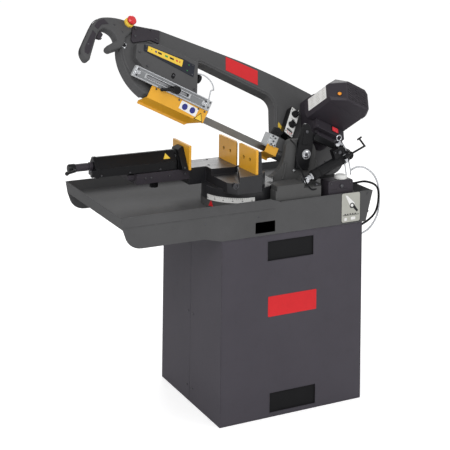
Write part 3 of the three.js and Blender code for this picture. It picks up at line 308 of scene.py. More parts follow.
# ---------------------------------------------------------------- mesh building
class Piece:
    """Gathers small solids into one mesh."""

    def __init__(self):
        self.points, self.faces = [], []

    def add(self, points, faces):
        start = len(self.points)
        self.points += points
        self.faces += [tuple(start + i for i in face) for face in faces]
        return self

    def prism(self, place, outline, low, high, chamfer=0.0):
        """An outline (x, y) raised from low to high, with a chamfer round its top."""
        twice_area = sum(a[0] * b[1] - b[0] * a[1] for a, b in zip(outline, outline[1:] + outline[:1]))
        if twice_area < 0:
            outline = outline[::-1]
        count = len(outline)
        middle = (sum(p[0] for p in outline) / count, sum(p[1] for p in outline) / count)
        rings = [(low, 0.0), (high - chamfer, 0.0)]
        if chamfer:
            rings.append((high, chamfer))
        points = []
        for height, inset in rings:
            for x, y in outline:
                away = math.hypot(x - middle[0], y - middle[1]) or 1
                share = max(1 - inset * 1.3 / away, 0.1)
                spot = (middle[0] + (x - middle[0]) * share, middle[1] + (y - middle[1]) * share)
                points.append(place.point(*spot, height))
        faces = [tuple(range(count))[::-1], tuple(range(count * (len(rings) - 1), count * len(rings)))]
        for ring in range(len(rings) - 1):
            for i in range(count):
                j = (i + 1) % count
                a, b = ring * count, (ring + 1) * count
                faces.append((a + i, a + j, b + j, b + i))
        return self.add(points, faces)

    def plate(self, place, wide, high, low, top, corner=3.0, chamfer=0.3):
        return self.prism(place, rounded(wide, high, corner), low, top, chamfer)

    def lathe(self, place, profile, sides=24):
        """A (radius, height) profile turned about the place's z; radius 0 closes an end."""
        points, faces, rings = [], [], []
        for radius, height in profile:
            if radius == 0:
                rings.append([len(points)])
                points.append(place.point(0, 0, height))
                continue
            rings.append(list(range(len(points), len(points) + sides)))
            for i in range(sides):
                angle = 2 * math.pi * i / sides
                points.append(place.point(radius * math.cos(angle), radius * math.sin(angle), height))
        for first, second in zip(rings, rings[1:]):
            for i in range(sides):
                j = (i + 1) % sides
                if len(first) == 1:
                    faces.append((first[0], second[j], second[i]))
                elif len(second) == 1:
                    faces.append((first[i], first[j], second[0]))
                else:
                    faces.append((first[i], first[j], second[j], second[i]))
        return self.add(points, faces)

    def screw(self, place, radius=4.0, height=3.0):
        """A socket-head screw standing on the place."""
        hole = radius * 0.5
        head = [(radius, 0), (radius, height * 0.8), (radius * 0.88, height), (hole * 1.1, height)]
        socket = [(hole * 1.1, height), (hole, height * 0.9), (hole, height * 0.35), (0, height * 0.35)]
        return self.lathe(place, head, 18).lathe(place, socket, 6)

    def screws(self, place, spots, lift, radius, height):
        """Screws at (x, y) spots, each standing lift above the place."""
        for x, y in spots:
            self.screw(place.moved(x, y, lift), radius, height)
        return self

    def nut(self, place, radius=6.0, height=5.0):
        self.lathe(place, [(radius, 0), (radius, height * 0.8), (radius * 0.85, height), (0, height)], 6)
        return self.lathe(place, [(radius * 0.5, height), (radius * 0.5, height + 2), (0, height + 2.4)], 14)

    def tube(self, points, radius, sides=10, steps=8):
        """A round hose along a smooth curve through points in metres."""
        path = smooth_path([Vector(p) for p in points], steps)
        rings, faces = [], []
        side = Vector((0.31, 0.77, 0.56))
        for i, here in enumerate(path):
            ahead = path[min(i + 1, len(path) - 1)] - path[max(i - 1, 0)]
            ahead.normalize()
            side = (side - ahead * side.dot(ahead)).normalized()
            other = ahead.cross(side)
            for k in range(sides):
                angle = 2 * math.pi * k / sides
                rings.append(here + (side * math.cos(angle) + other * math.sin(angle)) * radius / 1000)
        for i in range(len(path) - 1):
            for k in range(sides):
                j = (k + 1) % sides
                faces.append((i * sides + k, i * sides + j, (i + 1) * sides + j, (i + 1) * sides + k))
        last = (len(path) - 1) * sides
        faces += [tuple(range(sides))[::-1], tuple(range(last, last + sides))]
        return self.add(rings, faces)

    def finish(self, name, body, material, bevel=0.0):
        data = bpy.data.meshes.new(name)
        data.from_pydata([tuple(p) for p in self.points], [], self.faces)
        data.validate()
        data.shade_smooth()
        data.set_sharp_from_angle(angle=math.radians(32))
        piece = bpy.data.objects.new(name, data)
        bpy.context.scene.collection.objects.link(piece)
        data.materials.append(MATERIALS[material])
        if bevel:
            modifier = piece.modifiers.new("soft_edges", "BEVEL")
            modifier.width, modifier.segments, modifier.limit_method = bevel / 1000, 2, "ANGLE"
        if body:
            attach(piece, body)
        return piece


def rounded(wide, high, corner, steps=4):
    """The outline of a rectangle with rounded corners, centred on the origin."""
    points = []
    for turn, (x, y) in enumerate(((1, -1), (1, 1), (-1, 1), (-1, -1))):
        for i in range(steps + 1):
            angle = math.radians(-90 + 90 * turn + 90 * i / steps)
            points.append((x * (wide / 2 - corner) + corner * math.cos(angle),
                           y * (high / 2 - corner) + corner * math.sin(angle)))
    return points


def smooth_path(points, steps):
    """Catmull-Rom through the points."""
    padded = [points[0] * 2 - points[1]] + points + [points[-1] * 2 - points[-2]]
    path = []
    for p0, p1, p2, p3 in zip(padded, padded[1:], padded[2:], padded[3:]):
        for i in range(steps):
            t = i / steps
            path.append(0.5 * (2 * p1 + (p2 - p0) * t + (2 * p0 - 5 * p1 + 4 * p2 - p3) * t * t
                               + (3 * p1 - p0 - 3 * p2 + p3) * t ** 3))
    return path + [points[-1]]


def on_circle(centre, radius, degrees):
    angle = math.radians(degrees)
    return centre[0] + radius * math.cos(angle), centre[1] + radius * math.sin(angle)


def arc(centre, radius, start, end, count):
    step = (end - start) / (count - 1)
    return [on_circle(centre, radius, start + i * step) for i in range(count)]


def metres(points):
    return [Vector(point) / 1000 for point in points]


# ---------------------------------------------------------------- bow
# How far the fronts of the bow and of the idler housing stand out from the wheel plane.
BOW_FACE, HOUSING_FACE = 26, 50


def bow_plates():
    """The label panel with its strip of plain marks, the red plate and the yellow flag."""
    panel_top, strip_top = HOUSING_FACE + 2.2, HOUSING_FACE + 2.8
    outline = [(-511, 146), (-268, 133), (-262, 196), (-318, 200), (-511, 178)]
    panel = Piece().prism(WHEELS, outline, HOUSING_FACE + 0.2, panel_top, 0.5)
    panel.finish("label_panel", "head", "navy", 0.3)
    outline = [(-495, 150), (-327, 156), (-321, 192), (-493, 178)]
    Piece().prism(WHEELS, outline, panel_top, strip_top, 0.2).finish("label_strip", "head", "yellow")
    marks = {
        "blue": [(-455, 8)],
        "print": [(-436, 18), (-378, 20)],
        "green": [(-404, 14)],
        "red": [(-352, 8), (-338, 5)],
    }
    for colour, spots in marks.items():
        piece = Piece()
        for x, wide in spots:
            y = 166 + (x + 493) * 0.05
            piece.plate(WHEELS.moved(x, y, 0, 3), wide, 9, strip_top, HOUSING_FACE + 3.1, 2.0, 0.1)
        piece.finish("strip_marks_" + colour, "head", colour)
    dots = Piece()
    for x, y in ((-476, 168), (-300, 150), (-292, 182)):
        dots.plate(WHEELS.moved(x, y), 5, 5, panel_top, HOUSING_FACE + 3.0, 2.0, 0.1)
    dots.finish("panel_dots", "head", "green")
    outline = [(-85, 272), (86, 276), (87, 353), (-86, 344)]
    red = Piece().prism(WHEELS, outline, BOW_FACE + 0.1, BOW_FACE + 1.0, 0.3)
    red.finish("bow_plate", "head", "plate_red")
    outline = [(196, 138), (222, 112), (180, 93)]
    Piece().prism(WHEELS, outline, BOW_FACE + 0.1, BOW_FACE + 0.9, 0.2).finish("bow_flag", "head", "yellow")


def bow_ribs():
    """The raised lip round the throat and the flange round the idler housing."""
    rib = Piece()
    throat = [(-252, 40), (-252, 206), *arc((-198, 208), 54, 172, 96, 6), (-40, 262),
              *arc((131, 208), 54, 84, 8, 6), (185, 190), (185, 60)]
    rib.tube([WHEELS.point(x, y, BOW_FACE - 1) for x, y in throat], 6, 8, 3)
    rim = arc(IDLER, 163, 142, 232, 10)
    rib.tube([WHEELS.point(x, y, BOW_FACE - 1) for x, y in rim], 6, 8, 2)
    rib.finish("bow_ribs", "head", "body")
    brim = Piece()
    for x, y, length, turn in ((-395, 232, 190, 6), (-392, 70, 240, 0)):
        brim.plate(WHEELS.moved(x, y, 0, turn), length, 7, BOW_FACE, BOW_FACE + 4, 3, 1.0)
    brim.finish("housing_steps", "head", "body", 0.8)


def bow_screws():
    """Screws on the bow's front, and the plug and pin of the idler housing, with dark patches painted as the shade
    in its holes.
    """
    screws = Piece()
    screws.screws(WHEELS, ((-474, 283), (-548, 212), (-445, 248), (-548, 250)), BOW_FACE + 8, 4.5, 3.5)
    screws.screws(WHEELS, ((-503, 171), (-503, 154), (-274, 188), (-276, 141)), HOUSING_FACE + 2.2, 3.2, 2.4)
    screws.screws(WHEELS, ((-530, 130), (-490, 80), (-262, 76)), HOUSING_FACE, 4.5, 3.5)
    round_drive = [on_circle(DRIVE, 118, angle) for angle in (-100, -60, -20, 20)]
    screws.screws(WHEELS, round_drive, BOW_FACE, 5, 4)
    screws.finish("bow_screws", "head", "screw")
    plug = Piece().lathe(WHEELS.moved(-592, 148, BOW_FACE), [(15, 0), (15, 3), (12, 5), (11, 3), (0, 3)], 28)
    plug.finish("housing_plug", "head", "chrome")
    # Dark patches in the plug and round the pin: painted shade for the holes in the housing.
    hole_shade_patches = Piece().lathe(WHEELS.moved(-592, 148, BOW_FACE + 3), [(9, 0), (9, 2), (6, 4), (0, 4.6)], 24)
    hole_shade_patches.plate(WHEELS.moved(-365, 93, 0, 72), 30, 15, HOUSING_FACE, HOUSING_FACE + 1.4, 7, 0.5)
    hole_shade_patches.finish("housing_hole_shade", "head", "rubber")
    pin = Piece().lathe(WHEELS.moved(-366, 92, HOUSING_FACE), [(4, 0), (4, 5), (2.5, 6.5), (0, 6.5)], 14)
    pin.finish("housing_pin", "head", "screw")


def cover_screws():
    """Screws and round caps on the blade cover, on the head's back."""
    vertices = frame["nodes"]["blade_cover"].data.vertices
    back = min((vertex.co - WHEELS.origin).dot(OUT) for vertex in vertices) * 1000
    behind = Place(WHEELS.origin, -ALONG, UP, -OUT)
    idler, drive = (-IDLER[0], IDLER[1]), (-DRIVE[0], DRIVE[1])
    screws, caps = Piece(), Piece()
    for centre, angles in ((idler, (-50, 0, 50, 100)), (drive, (80, 130, 180, 230))):
        screws.screws(behind, [on_circle(centre, 132, angle) for angle in angles], -back, 5, 3.5)
    screws.screws(behind, [(x, 300) for x in (300, 150, 0, -150)], -back, 5, 3.5)
    for x, y in (idler, drive):
        caps.lathe(behind.moved(x, y, -back), [(20, 0), (22, 2), (22, 3), (18, 5), (8, 6), (0, 6)], 32)
    screws.finish("cover_screws", "head", "screw")
    caps.finish("cover_caps", "head", "black")


def tension_grip():
    """Grip ribs round the blade tension knob."""
    grip = Piece()
    head = Place(WHEELS.point(-239, 150, 36), WHEELS.y, WHEELS.z, WHEELS.x)
    for i in range(16):
        spot = head.moved(*on_circle((0, 0), 17, i * 22.5), 0, i * 22.5)
        grip.plate(spot, 2.4, 2.4, 1.5, 11.5, 0.8, 0.6)
    grip.finish("tension_knob_ribs", "tension_screw", "rubber")


def blade_teeth():
    """Set teeth along the blade's lower edge, between the guards of the wheels."""
    teeth = Piece()
    start, end = -232, 172
    low, pitch, depth, half = -13.5, 4.0, 2.2, 0.45
    for i in range(int((end - start) / pitch)):
        x = start + i * pitch
        lean = (0.35, 0.0, -0.35)[i % 3]
        corners = [(x, low), (x + pitch, low), (x + pitch * 0.25, low - depth)]
        points = [CUT.point(cx, cy, side + (lean if cy < low else 0))
                  for side in (-half, half) for cx, cy in corners]
        teeth.add(points, [(0, 1, 2), (3, 5, 4), (0, 3, 4, 1), (1, 4, 5, 2), (2, 5, 3, 0)])
    teeth.finish("blade_teeth", "head", "blade")


def sliding_guide():
    """Screws, rollers, scale lines and rails on the sliding bar and its blade guide."""
    screws, rollers, lines = Piece(), Piece(), Piece()
    screws.screws(CUT, ((-548, 44), (-548, 68), (-222, 66), (-222, 44)), 47, 4, 3.4)
    screws.screws(CUT, ((-196, 68), (-196, 48)), 32, 4, 3.4)
    for x, y in ((-212, 24), (-194, 30)):
        rollers.lathe(CUT.moved(x, y, 12), [(9, 0), (9, 7), (8, 8), (5, 8), (5, 6.5), (0, 6.5)], 28)
    for i in range(28):
        x = -296 - i * 8
        lines.plate(CUT.moved(x, 71 if i % 5 else 70), 0.8, 4 if i % 5 else 7, 47, 47.25, 0.3, 0.05)
    screws.finish("guide_bar_screws", "guide_arm", "screw")
    rollers.finish("left_guide_rollers", "guide_arm", "steel")
    lines.finish("guide_bar_lines", "guide_arm", "print")
    key = Piece().prism(CUT, [(-500, 51.5), (-305, 51.5), (-305, 61.5), (-500, 61.5)], 32.2, 33.6, 0.4)
    key.finish("guide_bar_key", "guide_arm", "steel")
    rails = Piece()
    for y, wide in ((75.6, 344), (37.4, 330)):
        rails.plate(CUT.moved(-384, y), wide, 4, 46.8, 49.6, 1.8, 0.8)
    for x in (-553, -217):
        rails.plate(CUT.moved(x, 56.5), 5, 34, 46.8, 49.2, 2, 0.8)
    for y in (48.5, 64.5):
        rails.plate(CUT.moved(-402, y), 196, 2.2, 46.8, 48.4, 1, 0.4)
    for x, y in ((-540, 56), (-232, 56)):
        rails.lathe(CUT.moved(x, y, 47), [(7, 0), (7, 2), (5.4, 2.6), (4, 1.2), (0, 1.2)], 24)
    rails.lathe(CUT.moved(-208, 64, 32), [(9, 0), (9, 9), (7.5, 11), (0, 11)], 6)
    rails.lathe(CUT.moved(-196, 30, 30), [(10, 0), (10, 5), (8.6, 6.4), (5.4, 6.4), (5.4, 4), (0, 4)], 28)
    rails.finish("guide_bar_ribs", "guide_arm", "chrome")
    pockets = Piece()
    spots = ((-384, 42.5, 322, 9), (-384, 70, 322, 8), (-528, 56, 34, 18), (-264, 56, 58, 18))
    for x, y, wide, high in spots:
        pockets.plate(CUT.moved(x, y), wide, high, 46.8, 47.3, 2, 0.2)
    pockets.finish("guide_bar_pockets", "guide_arm", "pocket")


def fixed_guide():
    """The block, screws and bracket of the right blade guide."""
    block = Piece()
    block.plate(CUT.moved(143, 30), 34, 30, 30, 36, 3, 1)
    block.plate(CUT.moved(130, 52), 12, 16, 30, 40, 3, 1)
    for x, y in ((134, 24), (152, 24)):
        block.lathe(CUT.moved(x, y, 36), [(7.5, 0), (7.5, 6), (6.5, 7), (4, 7), (4, 5.5), (0, 5.5)], 24)
    block.finish("right_guide_block", "head", "alloy", 0.5)
    bolts = Piece()
    for x, y, z in ((150, 52, 30), (143, 38, 36), (134, 24, 41), (152, 24, 41), (130, 56, 40)):
        bolts.screw(CUT.moved(x, y, z), 3.6, 3)
    bolts.finish("right_guide_screws", "head", "screw")
    bracket = Piece().prism(CUT, [(120, 62), (164, 62), (176, 84), (150, 98), (126, 92)], 22, 30, 2)
    bracket.plate(CUT.moved(148, 78), 8, 8, 30, 33, 3.5, 0.8)
    bracket.finish("right_guide_bracket", "head", "black", 0.5)


def guard_details():
    """Plain plates and screws on the amber guard."""
    white = Piece().plate(CUT.moved(-276, 12, 0, -3), 84, 34, 40.1, 40.7, 3, 0.2)
    white.finish("guard_plate", "guide_arm", "white")
    discs = Piece()
    for x in (-295, -258):
        discs.lathe(CUT.moved(x, 12, 40.7), [(12.5, 0), (12.5, 0.3), (12, 0.5), (0, 0.5)], 28)
    discs.finish("guard_discs", "guide_arm", "blue")
    border = Piece().prism(CUT.moved(-218, 0, 40.1), [(-21, -15), (21, -15), (0, 18)], 0, 0.4, 0.1)
    border.finish("guard_flag_border", "guide_arm", "print")
    flag = Piece().prism(CUT.moved(-218, -0.5, 40.1), [(-17, -12), (17, -12), (0, 14)], 0, 0.8, 0.2)
    flag.finish("guard_flag", "guide_arm", "yellow")
    screws = Piece().screws(CUT, [(x, 27) for x in (-440, -330, -236, -206)], 40, 3.6, 2.6)
    screws.finish("guard_screws", "guide_arm", "screw")


# ---------------------------------------------------------------- handle, controls and drive
def handle_details():
    """The handle's inlays, seam and screws."""
    grip = Piece()
    outer = [(-744, 138), (-771, 40), (-768, 16), (-752, 14), (-745, 30), (-728, 128)]
    upper = [(-700, 218), (-726, 196), (-740, 160), (-722, 152), (-706, 186), (-676, 204)]
    for outline in (outer, upper):
        grip.prism(WHEELS, outline, 39.6, 41.4, 1.2)
    grip.finish("handle_inlay", "head", "plum", 0.6)
    back = [(-640, 258), (-706, 226), (-736, 196), (-753, 150), (-780, 44), (-778, 12)]
    Piece().tube([WHEELS.point(x, y, 22) for x, y in back], 1.4, 6, 4).finish("handle_seam", "head", "black")
    screws = Piece().screws(WHEELS, ((-650, 214), (-610, 200), (-757, 60)), 40, 4, 2.4)
    screws.finish("handle_screws", "head", "screw")


def trigger_and_stop():
    """Ribs on the trigger and three arrows on the emergency stop's cap."""
    ribs = Piece()
    for i in range(4):
        ribs.plate(WHEELS.moved(-694 - i * 2, 130 + i * 7), 3, 3, 16, 28, 1.2, 0.4)
    ribs.finish("trigger_ribs", "trigger", "black")
    arrows = Piece()
    low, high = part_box("stop_button")
    cap = Place((low + high) / 2, WHEELS.x, WHEELS.y, WHEELS.z)
    vertices = frame["nodes"]["stop_button"].data.vertices
    top = max((vertex.co - cap.origin).dot(WHEELS.z) for vertex in vertices) * 1000
    for angle in (0, 120, 240):
        spot = cap.moved(*on_circle((0, 0), 8, angle), 0, angle + 60)
        arrows.plate(spot, 9, 2.2, top - 1.4, top - 0.2, 1, 0.2)
    arrows.finish("stop_button_arrows", "stop", "lamp")


def controls():
    """The white face of the control box with scale marks, and pointers on the two knobs."""
    box, top = WHEELS.moved(242, 140, 0, -18), 59.0
    Piece().plate(box, 43, 154, 58.1, top, 5, 0.3).finish("control_face", "head", "white")
    marks = Piece()
    for y, ticks in ((46, range(-130, 131, 20)), (-18, (-45, 0, 45))):
        for angle in ticks:
            x, lift = 19 * math.sin(math.radians(angle)), 19 * math.cos(math.radians(angle))
            marks.plate(box.moved(x, y + lift, 0, -angle), 0.9, 3, top, 59.2, 0.3, 0.05)
    for y in (70, 18, 14, -44):
        marks.plate(box.moved(0, y), 18, 1.6, top, 59.2, 0.6, 0.05)
    marks.plate(box.moved(0, -52), 30, 10, top, 59.2, 2, 0.05)
    marks.finish("control_marks", "head", "print")
    reds = Piece()
    for x, y in ((-8, -62), (4, -64), (12, -60), (-4, -70), (8, -71)):
        reds.plate(box.moved(x, y), 7, 3.6, top, 59.25, 1, 0.05)
    reds.finish("control_red_marks", "head", "red")
    for name, body, y, turn in (("speed_pointer", "speed", 46, 0), ("mode_pointer", "mode", -18, 40)):
        pointer = Piece().plate(box.moved(0, y, 0, turn).moved(0, 8), 1.6, 10, 82.4, 82.9, 0.7, 0.1)
        pointer.finish(name, body, "white")
    screws = Piece().screws(box, [(x, y) for y in (-66, 66) for x in (-17, 17)], top, 2.4, 1.6)
    screws.finish("control_screws", "head", "screw")


def motor_details():
    """The label on the motor's left side and the lamp on its end."""
    left = Place(WHEELS.point(276, 202, 187), WHEELS.z, WHEELS.y, -WHEELS.x)
    Piece().plate(left, 118, 60, 0.1, 0.8, 3, 0.2).finish("motor_label", "head", "white")
    lines = Piece()
    for row in range(7):
        for column in range(3):
            wide = random.uniform(14, 28)
            lines.plate(left.moved(38 - column * 36, 23 - row * 7.4), wide, 1.2, 0.8, 0.95, 0.4, 0.03)
    lines.finish("motor_label_lines", "head", "plate")
    spot = Place(WHEELS.point(309, 182, 286.6), WHEELS.x, WHEELS.y, WHEELS.z).facing((-0.62, 0, 0.785))
    ring = Piece().lathe(spot, [(11, -1), (11, 1.4), (9.5, 2.4), (8.4, 1.6), (8.4, 0.6)], 28)
    ring.finish("motor_lamp_ring", "head", "black")
    Piece().lathe(spot, [(8.2, 0), (8.2, 2), (6, 4.6), (0, 5.6)], 24).finish("motor_lamp", "head", "orange")


def fan_lattice():
    """Crossed bars over the fan cover's slots, each cut to the grille's rectangle."""
    lattice = Piece()
    wide, high, pitch = 104, 82, 8.5
    for slope in (-1, 1):
        for i in range(-11, 12):
            across = i * pitch
            ends = (slope * (-high / 2) + across, slope * (high / 2) + across)
            start = max(-wide / 2, min(ends))
            end = min(wide / 2, max(ends))
            if end - start < 3:
                continue
            middle, length = (start + end) / 2, (end - start) * math.sqrt(2)
            bar = WHEELS.moved(393 + middle, 202 + slope * (middle - across), 0, 45 * slope)
            lattice.plate(bar, length, 2.2, 303.6, 305.0 + slope * 0.2, 0.8, 0.4)
    lattice.finish("fan_lattice", "head", "plum")


def gearbox_details():
    """Screws on the gearbox and switch box, the switch's frame and the motor's fins."""
    screws = Piece()
    screws.screws(WHEELS, ((296, 250), (462, 238)), 102.6, 4.5, 2.4)
    screws.screws(WHEELS, ((330, 104), (352, 92), (430, 100), (446, 104)), 104, 4.5, 4)
    screws.screws(WHEELS, ((325, 122), (325, 148)), 128, 3, 2)
    screws.finish("gearbox_screws", "head", "screw")
    bezel = Piece()
    for x, y, wide, high in ((0, 12, 38, 3), (0, -12, 38, 3), (-18, 0, 3, 26), (18, 0, 3, 26)):
        bezel.plate(WHEELS.moved(419 + x, 139 + y), wide, high, 127.8, 129.8, 1, 0.5)
    bezel.finish("switch_bezel", "head", "black", 0.3)
    fins = Piece()
    for i in range(5):
        fins.plate(WHEELS.moved(480.4, 182 + i * 14), 1.4, 6, 112, 240, 0.5, 0.2)
    fins.finish("motor_fins", "head", "plum")


def pivot_details():
    """The ring and bolt on the tilt shaft's end, and the web of the long arm."""
    pivot = facing_front(*joint_point("head_tilt"))
    ring = Piece()
    ring.lathe(pivot.moved(0, 0, 79), [(15, 0), (15, 5), (12, 6.5), (8, 6.5), (8, 3.5), (0, 3.5)], 32)
    ring.finish("pivot_ring", "head", "chrome")
    bolt = Piece().screw(pivot.moved(0, 0, 82.5), 6.5, 4.5)
    bolt.nut(pivot.moved(4, 92, 79), 7, 5)
    bolt.finish("pivot_bolt", "head", "screw")
    web = Piece().prism(pivot, [(-20, 40), (12, 36), (6, 96), (-8, 100)], 78.6, 81, 1.5)
    web.finish("pivot_arm_web", "head", "black", 0.8)


# ---------------------------------------------------------------- column, cylinder and hoses
def column_details():
    """Bolts, ribs and nipples on the swivelling column."""
    bolts = Piece()
    for x, y in ((200, -150), (282, -150), (292, -60), (200, 70), (240, 92)):
        bolts.screw(ROW.moved(MITRE_X + x, MITRE_Y + y, 884 if y < -50 else 880), 8, 7)
    bolts.finish("column_bolts", "swivel", "screw")
    front = -MITRE_Y + 62
    ribs = Piece()
    left, right = ((174, 900), (184, 935), (188, 968)), ((318, 890), (330, 930), (334, 965))
    for radius, spots in ((6, left), (5, right)):
        ribs.tube([FRONT.point(MITRE_X + x, z, front - 1) for x, z in spots], radius, 8, 4)
    ribs.finish("column_ribs", "swivel", "cast")
    nipples = Piece()
    for x, z in ((226, 930), (300, 900)):
        nipples.nut(FRONT.moved(MITRE_X + x, z, front), 6, 5)
    nipples.finish("column_nipples", "swivel", "alloy")
    nuts = Piece()
    for x, y in ((128, -100), (138, -40), (136, 30)):
        nuts.nut(ROW.moved(MITRE_X + x, MITRE_Y + y, 844), 7, 6)
    nuts.finish("swivel_nuts", "swivel", "alloy")


def cylinder_details():
    """Bands, collars, fittings and the valve's ring on the feed cylinder."""
    along = Place(CYLINDER.origin, CYLINDER.y, CYLINDER.z, CYLINDER.x)
    bands = Piece()
    for start in (34, 62, 172):
        bands.lathe(along.moved(0, 0, start), [(21, 0), (22.4, 1), (22.4, 7), (21, 8)], 32)
    bands.finish("cylinder_bands", "tube", "rubber")
    collars = Piece()
    collars.lathe(along.moved(0, 0, 186), [(22, 0), (24, 1.5), (24, 12), (22, 13.5), (20, 13.5)], 32)
    collars.lathe(along.moved(0, 0, 22), [(11.5, 0), (16, 1), (16, 8), (14, 10), (11.5, 10)], 28)
    collars.finish("cylinder_collars", "tube", "chrome")
    eye = facing_front(*CYLINDER.origin)
    pin = Piece().lathe(eye.moved(0, 0, 13.5), [(8, 0), (8, 2.4), (6.5, 3), (0, 3)], 24)
    pin.finish("cylinder_pin_head", "swivel", "chrome")
    front = Place(CYLINDER.origin, CYLINDER.x, CYLINDER.z, (0, -1, 0))
    fittings = Piece().nut(front.moved(176, 38, 14), 8, 7)
    fittings.screws(front, ((158, 44), (194, 24)), 14, 3.4, 2.4)
    fittings.finish("valve_fittings", "tube", "screw")
    knob = Place(CYLINDER.point(186, 0, 54), CYLINDER.x, CYLINDER.y, CYLINDER.z)
    loop = [knob.point(16 + x, 0, 33 + y) for x, y in arc((0, 0), 11, -90, 270, 14)]
    Piece().tube(loop, 1.8, 8, 3).finish("valve_ring", "valve", "chrome")


def coolant_hose():
    """The pale hose from the pump round into the cabinet's side, and its grommets."""
    side = [(318, 912), (352, 922), (396, 912), (440, 874), (462, 812), (458, 722), (420, 664), (372, 642),
            (330, 640)]
    Piece().tube(metres([(x, -186, z) for x, z in side]), 4, 10, 6).finish("coolant_hose", "stand", "clear")
    wall = facing_side(0.3228, -0.186, 0.640, 1)
    grommets = Piece().lathe(wall, [(11, 0), (11, 5), (8, 7), (8, 14), (5, 14)], 20)
    grommets.lathe(wall.moved(-4, 32), [(10, 0), (10, 5), (7, 7), (5, 7)], 20)
    grommets.finish("cabinet_grommets", "stand", "rubber")


def stretched(name, points, radius, steps, material, bodies, start, end):
    """A hose along the points, baked in place with no body; bodies, start and end are not used."""
    hose = Piece().tube(points, radius, 10, steps).finish(name, None, material)
    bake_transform(hose)


def moving_hoses():
    """The mist hose, the control lead and the pair of thin hoses at the pump."""
    loop = [(-238, 186, 20), (-190, 196, 22), (-158, 172, 28), (-160, 126, 44), (-190, 92, 66)]
    mist = [WHEELS.point(*spot) for spot in loop] + [CUT.point(-208, 70, 40)]
    stretched("mist_hose", mist, 3, 6, "clear", ("head", "guide_arm"),
              WHEELS.point(-190, 190, 20), CUT.point(-204, 76, 42))
    top = WHEELS.point(224, 68, 44)
    lead = [(22, -238, 1052), (15, -256, 1020), (14, -262, 990), (36, -262, 955), (57, -262, 908),
            (84, -262, 876), (112, -256, 874), (126, -236, 866)]
    stretched("control_lead", [top] + metres(lead), 3, 7, "rubber", ("head", "swivel"),
              top, Vector((0.06, -0.26, 0.90)))
    pair = Piece()
    left = ((246, -214, 1046), (254, -222, 1020), (262, -226, 962), (268, -226, 930), (275, -222, 903))
    right = ((262, -206, 1036), (279, -214, 1002), (288, -222, 950), (294, -222, 925), (298, -218, 903))
    for path in (left, right):
        pair.tube(metres(path), 2.6, 8, 5)
    pair = pair.finish("pump_hoses", None, "clear")
    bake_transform(pair)


# ---------------------------------------------------------------- vise and bed
def jaw_bolts():
    """Two sunk bolts in the working face of each jaw, each ringed in black as painted shade for its counterbore.
    """
    middle = (BED_TOP + 0.52 * 97) / 1000
    for node, body, side in (("fixed_jaw_back", "stand", -1), ("fixed_jaw_front", "stand", -1),
                             ("moving_jaw", "jaw", 1)):
        low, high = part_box(node)
        bolts, counterbore_shades = Piece(), Piece()
        for share in (0.36, 0.72):
            y = low.y + share * (high.y - low.y)
            spot = facing_side(low.x if side < 0 else high.x, y, middle, side)
            bolts.screw(spot.moved(0, 0, -7), 5, 4.5)
            # A black ring at the face round each bolt: painted shade for the dark counterbore.
            counterbore_shades.lathe(spot, [(6.9, -0.3), (6.9, 0.25), (5.6, 0.25), (5.6, -0.5)], 24)
        bolts.finish(node + "_bolts", body, "black")
        counterbore_shades.finish(node + "_counterbore_shade", body, "rubber")


def scale_marks():
    """Degree lines on the white band round the swivel ring."""
    axis, top = joint_point("mitre_swivel"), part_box("degree_scale")[1].z
    ticks, bars = Piece(), Piece()
    for step in range(27):
        angle = 190 + step * 3
        tall = 7 if step % 5 == 0 else 4
        outward = Vector((math.cos(math.radians(angle)), math.sin(math.radians(angle)), 0))
        middle = Vector((axis.x, axis.y, top - tall / 2000 - 0.001))
        spot = Place(middle + outward * 0.148, Vector((0, 0, 1)).cross(outward), (0, 0, 1), outward)
        ticks.plate(spot, 0.9, tall, 0.05, 0.35, 0.3, 0.05)
        if step % 5 == 0:
            figure = spot.moved(0, -tall / 2 - 4.5)
            bars.plate(figure.moved(-2, 0), 1.2, 4.4, 0.05, 0.35, 0.4, 0.05)
            bars.plate(figure.moved(1.4, 0), 2.6, 4.4, 0.05, 0.35, 1.0, 0.05)
    ticks.finish("scale_ticks", "stand", "print")
    bars.finish("scale_figures", "stand", "print")


def bed_details():
    """The ringed bolt on the bed's front, the fillets on its body and the screws in its top."""
    socket = facing_front(-0.2555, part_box("bed_casting")[0].y, 0.922)
    ring = Piece().lathe(socket, [(9.2, -2), (9.2, 0.5), (9.8, 0.9), (11.4, 0.9), (12, 0.4), (12, 0)], 32)
    ring.finish("bed_ring", "stand", "screw")
    Piece().screw(socket.moved(0, 0, -6), 7.5, 5).finish("bed_bolt", "stand", "screw")
    fillets = Piece()
    for points in (((-112, -100), (-84, -130), (-40, -150)), ((-108, 0), (-112, -60), (-104, -104))):
        fillets.tube(metres([(MITRE_X + x, MITRE_Y + y, 893) for x, y in points]), 5, 8, 5)
    fillets.finish("bed_fillets", "stand", "black")
    spots = [(MITRE_X + x, MITRE_Y + y) for x, y in ((-176, 80), (-176, 160), (-60, 160), (-96, 70))]
    Piece().screws(ROW, spots, BED_TOP, 5, 1.6).finish("bed_screws", "stand", "screw")


